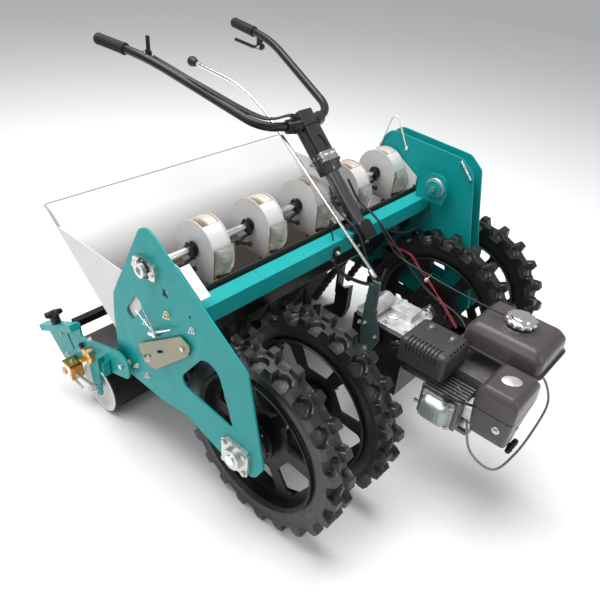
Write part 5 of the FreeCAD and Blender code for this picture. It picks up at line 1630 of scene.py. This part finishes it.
def chains():
    """The two drive chains of the chain case, as real links just outside their sprockets' teeth."""
    axle, shaft, counter = (middle_of(node) for node in ("drive_axle", "metering_shaft", "countershaft"))
    low_x, high_x = middle_of("axle_sprocket").x, middle_of("metering_sprocket").x
    low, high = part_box("drive_chains")
    clear = axle.y - low.y
    shaft_clear = high.y - shaft.y
    counter_clear = high.z - max(counter.z, shaft.z) if counter.z > shaft.z else 0.045
    first = [Vector((low_x, p.y, p.z)) for p in belt_loop(axle, clear - 0.006, counter,
                                                          counter_clear - 0.006)]
    second = [Vector((high_x, p.y, p.z)) for p in belt_loop(counter, counter_clear - 0.006, shaft,
                                                           shaft_clear - 0.006)]
    roller_chain(first, 0.0127, "axle_to_countershaft_chain")
    roller_chain(second, 0.0127, "countershaft_to_metering_chain")


# ---------------------------------------------------------------- hopper

def hopper_trim():
    """The rolled beads along the hopper's rim, coloured grey as painted shade along the rim's edge."""
    low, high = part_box("seed_hopper")
    bead = 0.0036
    rear = high.y - bead
    rim_top = low.z + 0.302
    left, right = low.x + bead, high.x - bead
    slope = [Vector((0, rear - 0.076, rim_top - 0.040)), Vector((0, rear - 0.030, rim_top - 0.003)),
             Vector((0, rear, rim_top))]
    path = [point + X * left for point in slope] + [point + X * right for point in reversed(slope)]
    rim = Shape()
    rim.tube(rounded_path(path, 0.012, 5), bead, 10)
    rim.piece("hopper_rim_bead", "rim_shade_grey", "frame", 0.0, (), 60)


def beam_sleeve():
    """The socket plates at the beam's near end, and the cable stay on top of the beam."""
    low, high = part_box("front_crossbeam")
    sleeve = Shape()
    for start, end in ((low.x + 0.001, low.x + 0.010), (low.x + 0.222, low.x + 0.232),
                       (high.x - 0.050, high.x - 0.001)):
        outline = rounded_rectangle(0.0262, 0.0262, 0.004)
        sleeve.loft(Vector((start, (low.y + high.y) / 2, (low.z + high.z) / 2)), X,
                    [(0, outline), (end - start, outline)], Y)
    sleeve.piece("beam_end_sleeves", "teal", "frame", 0.001)
    stay, bolt = Shape(), Shape()
    foot = Vector((-0.110, low.y - 0.002, low.z + 0.012))
    stay.tube([foot, foot + mm(-2, 22, 56), foot + mm(-4, 34, 96)], 0.0022, 10)
    stay.loft(foot + Z * 0.004, -Y, [(0, rounded_rectangle(0.014, 0.017, 0.006)),
                                     (0.003, rounded_rectangle(0.014, 0.017, 0.006))], X)
    bolt.bolt(foot + mm(0, -3, 4), -Y, 0.0062, 0.0045)
    stay.piece("cable_stay", "black_paint", "frame")
    bolt.piece("cable_stay_bolt", "zinc", "frame", 0.0004)
    yoke = Shape()
    yoke.tube(curved_path([mm(-160, 118, 616), mm(-120, 104, 560), mm(-70, 60, 528), mm(-20, 40, 520),
                           mm(40, 60, 530)], 10), 0.0055, 14)
    yoke.lathe(mm(-34, 46, 524), Vector((0, -0.8, 0.6)), [(-0.008, 0.009), (-0.008, 0.019), (0.008, 0.019),
                                                          (0.008, 0.009)],
               32, closed=True)
    yoke.piece("gearbox_stay_yoke", "black_paint", "frame", 0.0006)


# ---------------------------------------------------------------- studio

CAMERA_PLACE = Vector((-1.333, -0.737, 1.474))
CAMERA_AZIMUTH, CAMERA_ELEVATION, CAMERA_ROLL = -50.7, 34.7, 5.1
LENS_MM = 35.8


def camera():
    """A camera at the wanted viewing angle."""
    azimuth, elevation, roll = (math.radians(v) for v in (CAMERA_AZIMUTH, CAMERA_ELEVATION, CAMERA_ROLL))
    back = Vector((math.sin(azimuth) * math.cos(elevation), -math.cos(azimuth) * math.cos(elevation),
                   math.sin(elevation)))
    right = Z.cross(back).normalized()
    up = back.cross(right)
    right, up = (right * math.cos(roll) + up * math.sin(roll), up * math.cos(roll) - right * math.sin(roll))
    data = bpy.data.cameras.new("camera")
    data.lens = LENS_MM
    data.sensor_width = 36
    seen = bpy.data.objects.new("camera", data)
    seen.matrix_world = Matrix((
        (right.x, up.x, back.x, CAMERA_PLACE.x), (right.y, up.y, back.y, CAMERA_PLACE.y),
        (right.z, up.z, back.z, CAMERA_PLACE.z), (0, 0, 0, 1)))
    bpy.context.scene.collection.objects.link(seen)
    bpy.context.scene.camera = seen


def light(name, place, aim, side, watts):
    """One soft square lamp that looks at a point."""
    data = bpy.data.lights.new(name, "AREA")
    data.energy = watts
    data.size = side
    lamp = bpy.data.objects.new(name, data)
    lamp.location = place
    lamp.rotation_euler = (Vector(aim) - Vector(place)).to_track_quat("-Z", "Y").to_euler()
    bpy.context.scene.collection.objects.link(lamp)


def studio():
    """Soft light, a pale world and the plain floor."""
    world = bpy.data.worlds.new("studio")
    world.use_nodes = True
    world.node_tree.nodes["Background"].inputs["Color"].default_value = (0.95, 0.97, 1.0, 1)
    world.node_tree.nodes["Background"].inputs["Strength"].default_value = 0.42
    bpy.context.scene.world = world
    bpy.context.scene.view_settings.view_transform = "Standard"
    light("overhead", (-0.3, 0.9, 3.6), (0, 0.1, 0.3), 3.2, 192)
    light("key", (-3.0, 0.2, 2.6), (0, 0, 0.4), 1.4, 15)
    light("fill", (0.6, -3.4, 1.8), (0, 0, 0.4), 2.0, 26)
    bpy.ops.mesh.primitive_plane_add(size=16, location=(0, 0, 0))
    floor = bpy.context.object
    floor.name = "studio_floor"
    floor.data.materials.append(M["floor"])


def build_everything():
    """Makes each detailed piece, in a fixed order."""
    for make in (tyres, wheel_fittings, axle_clamps, seed_domes, seed_cups, seed_fittings, shaft_collars,
                 shaft_linkage, plate_fittings, bearing_details, shade_sheet_under_beam, seed_tubes, press_drum,
                 roller_fittings, star_knob, lower_column, upper_column, clamp_knob, handle_bars,
                 handle_controls, gear_rod, shift_plate, gearbox_dressing, fuel_tank, fuel_cap,
                 air_cleaner, muffler_shield, valve_cover, recoil_housing, pull_grip, engine_details,
                 engine_cables, red_wires, cable_runs, coil_springs, extra_springs, wire_bail, chains,
                 hopper_trim, beam_sleeve):
        make()


dress_cad_nodes()
build_everything()
studio()
camera()
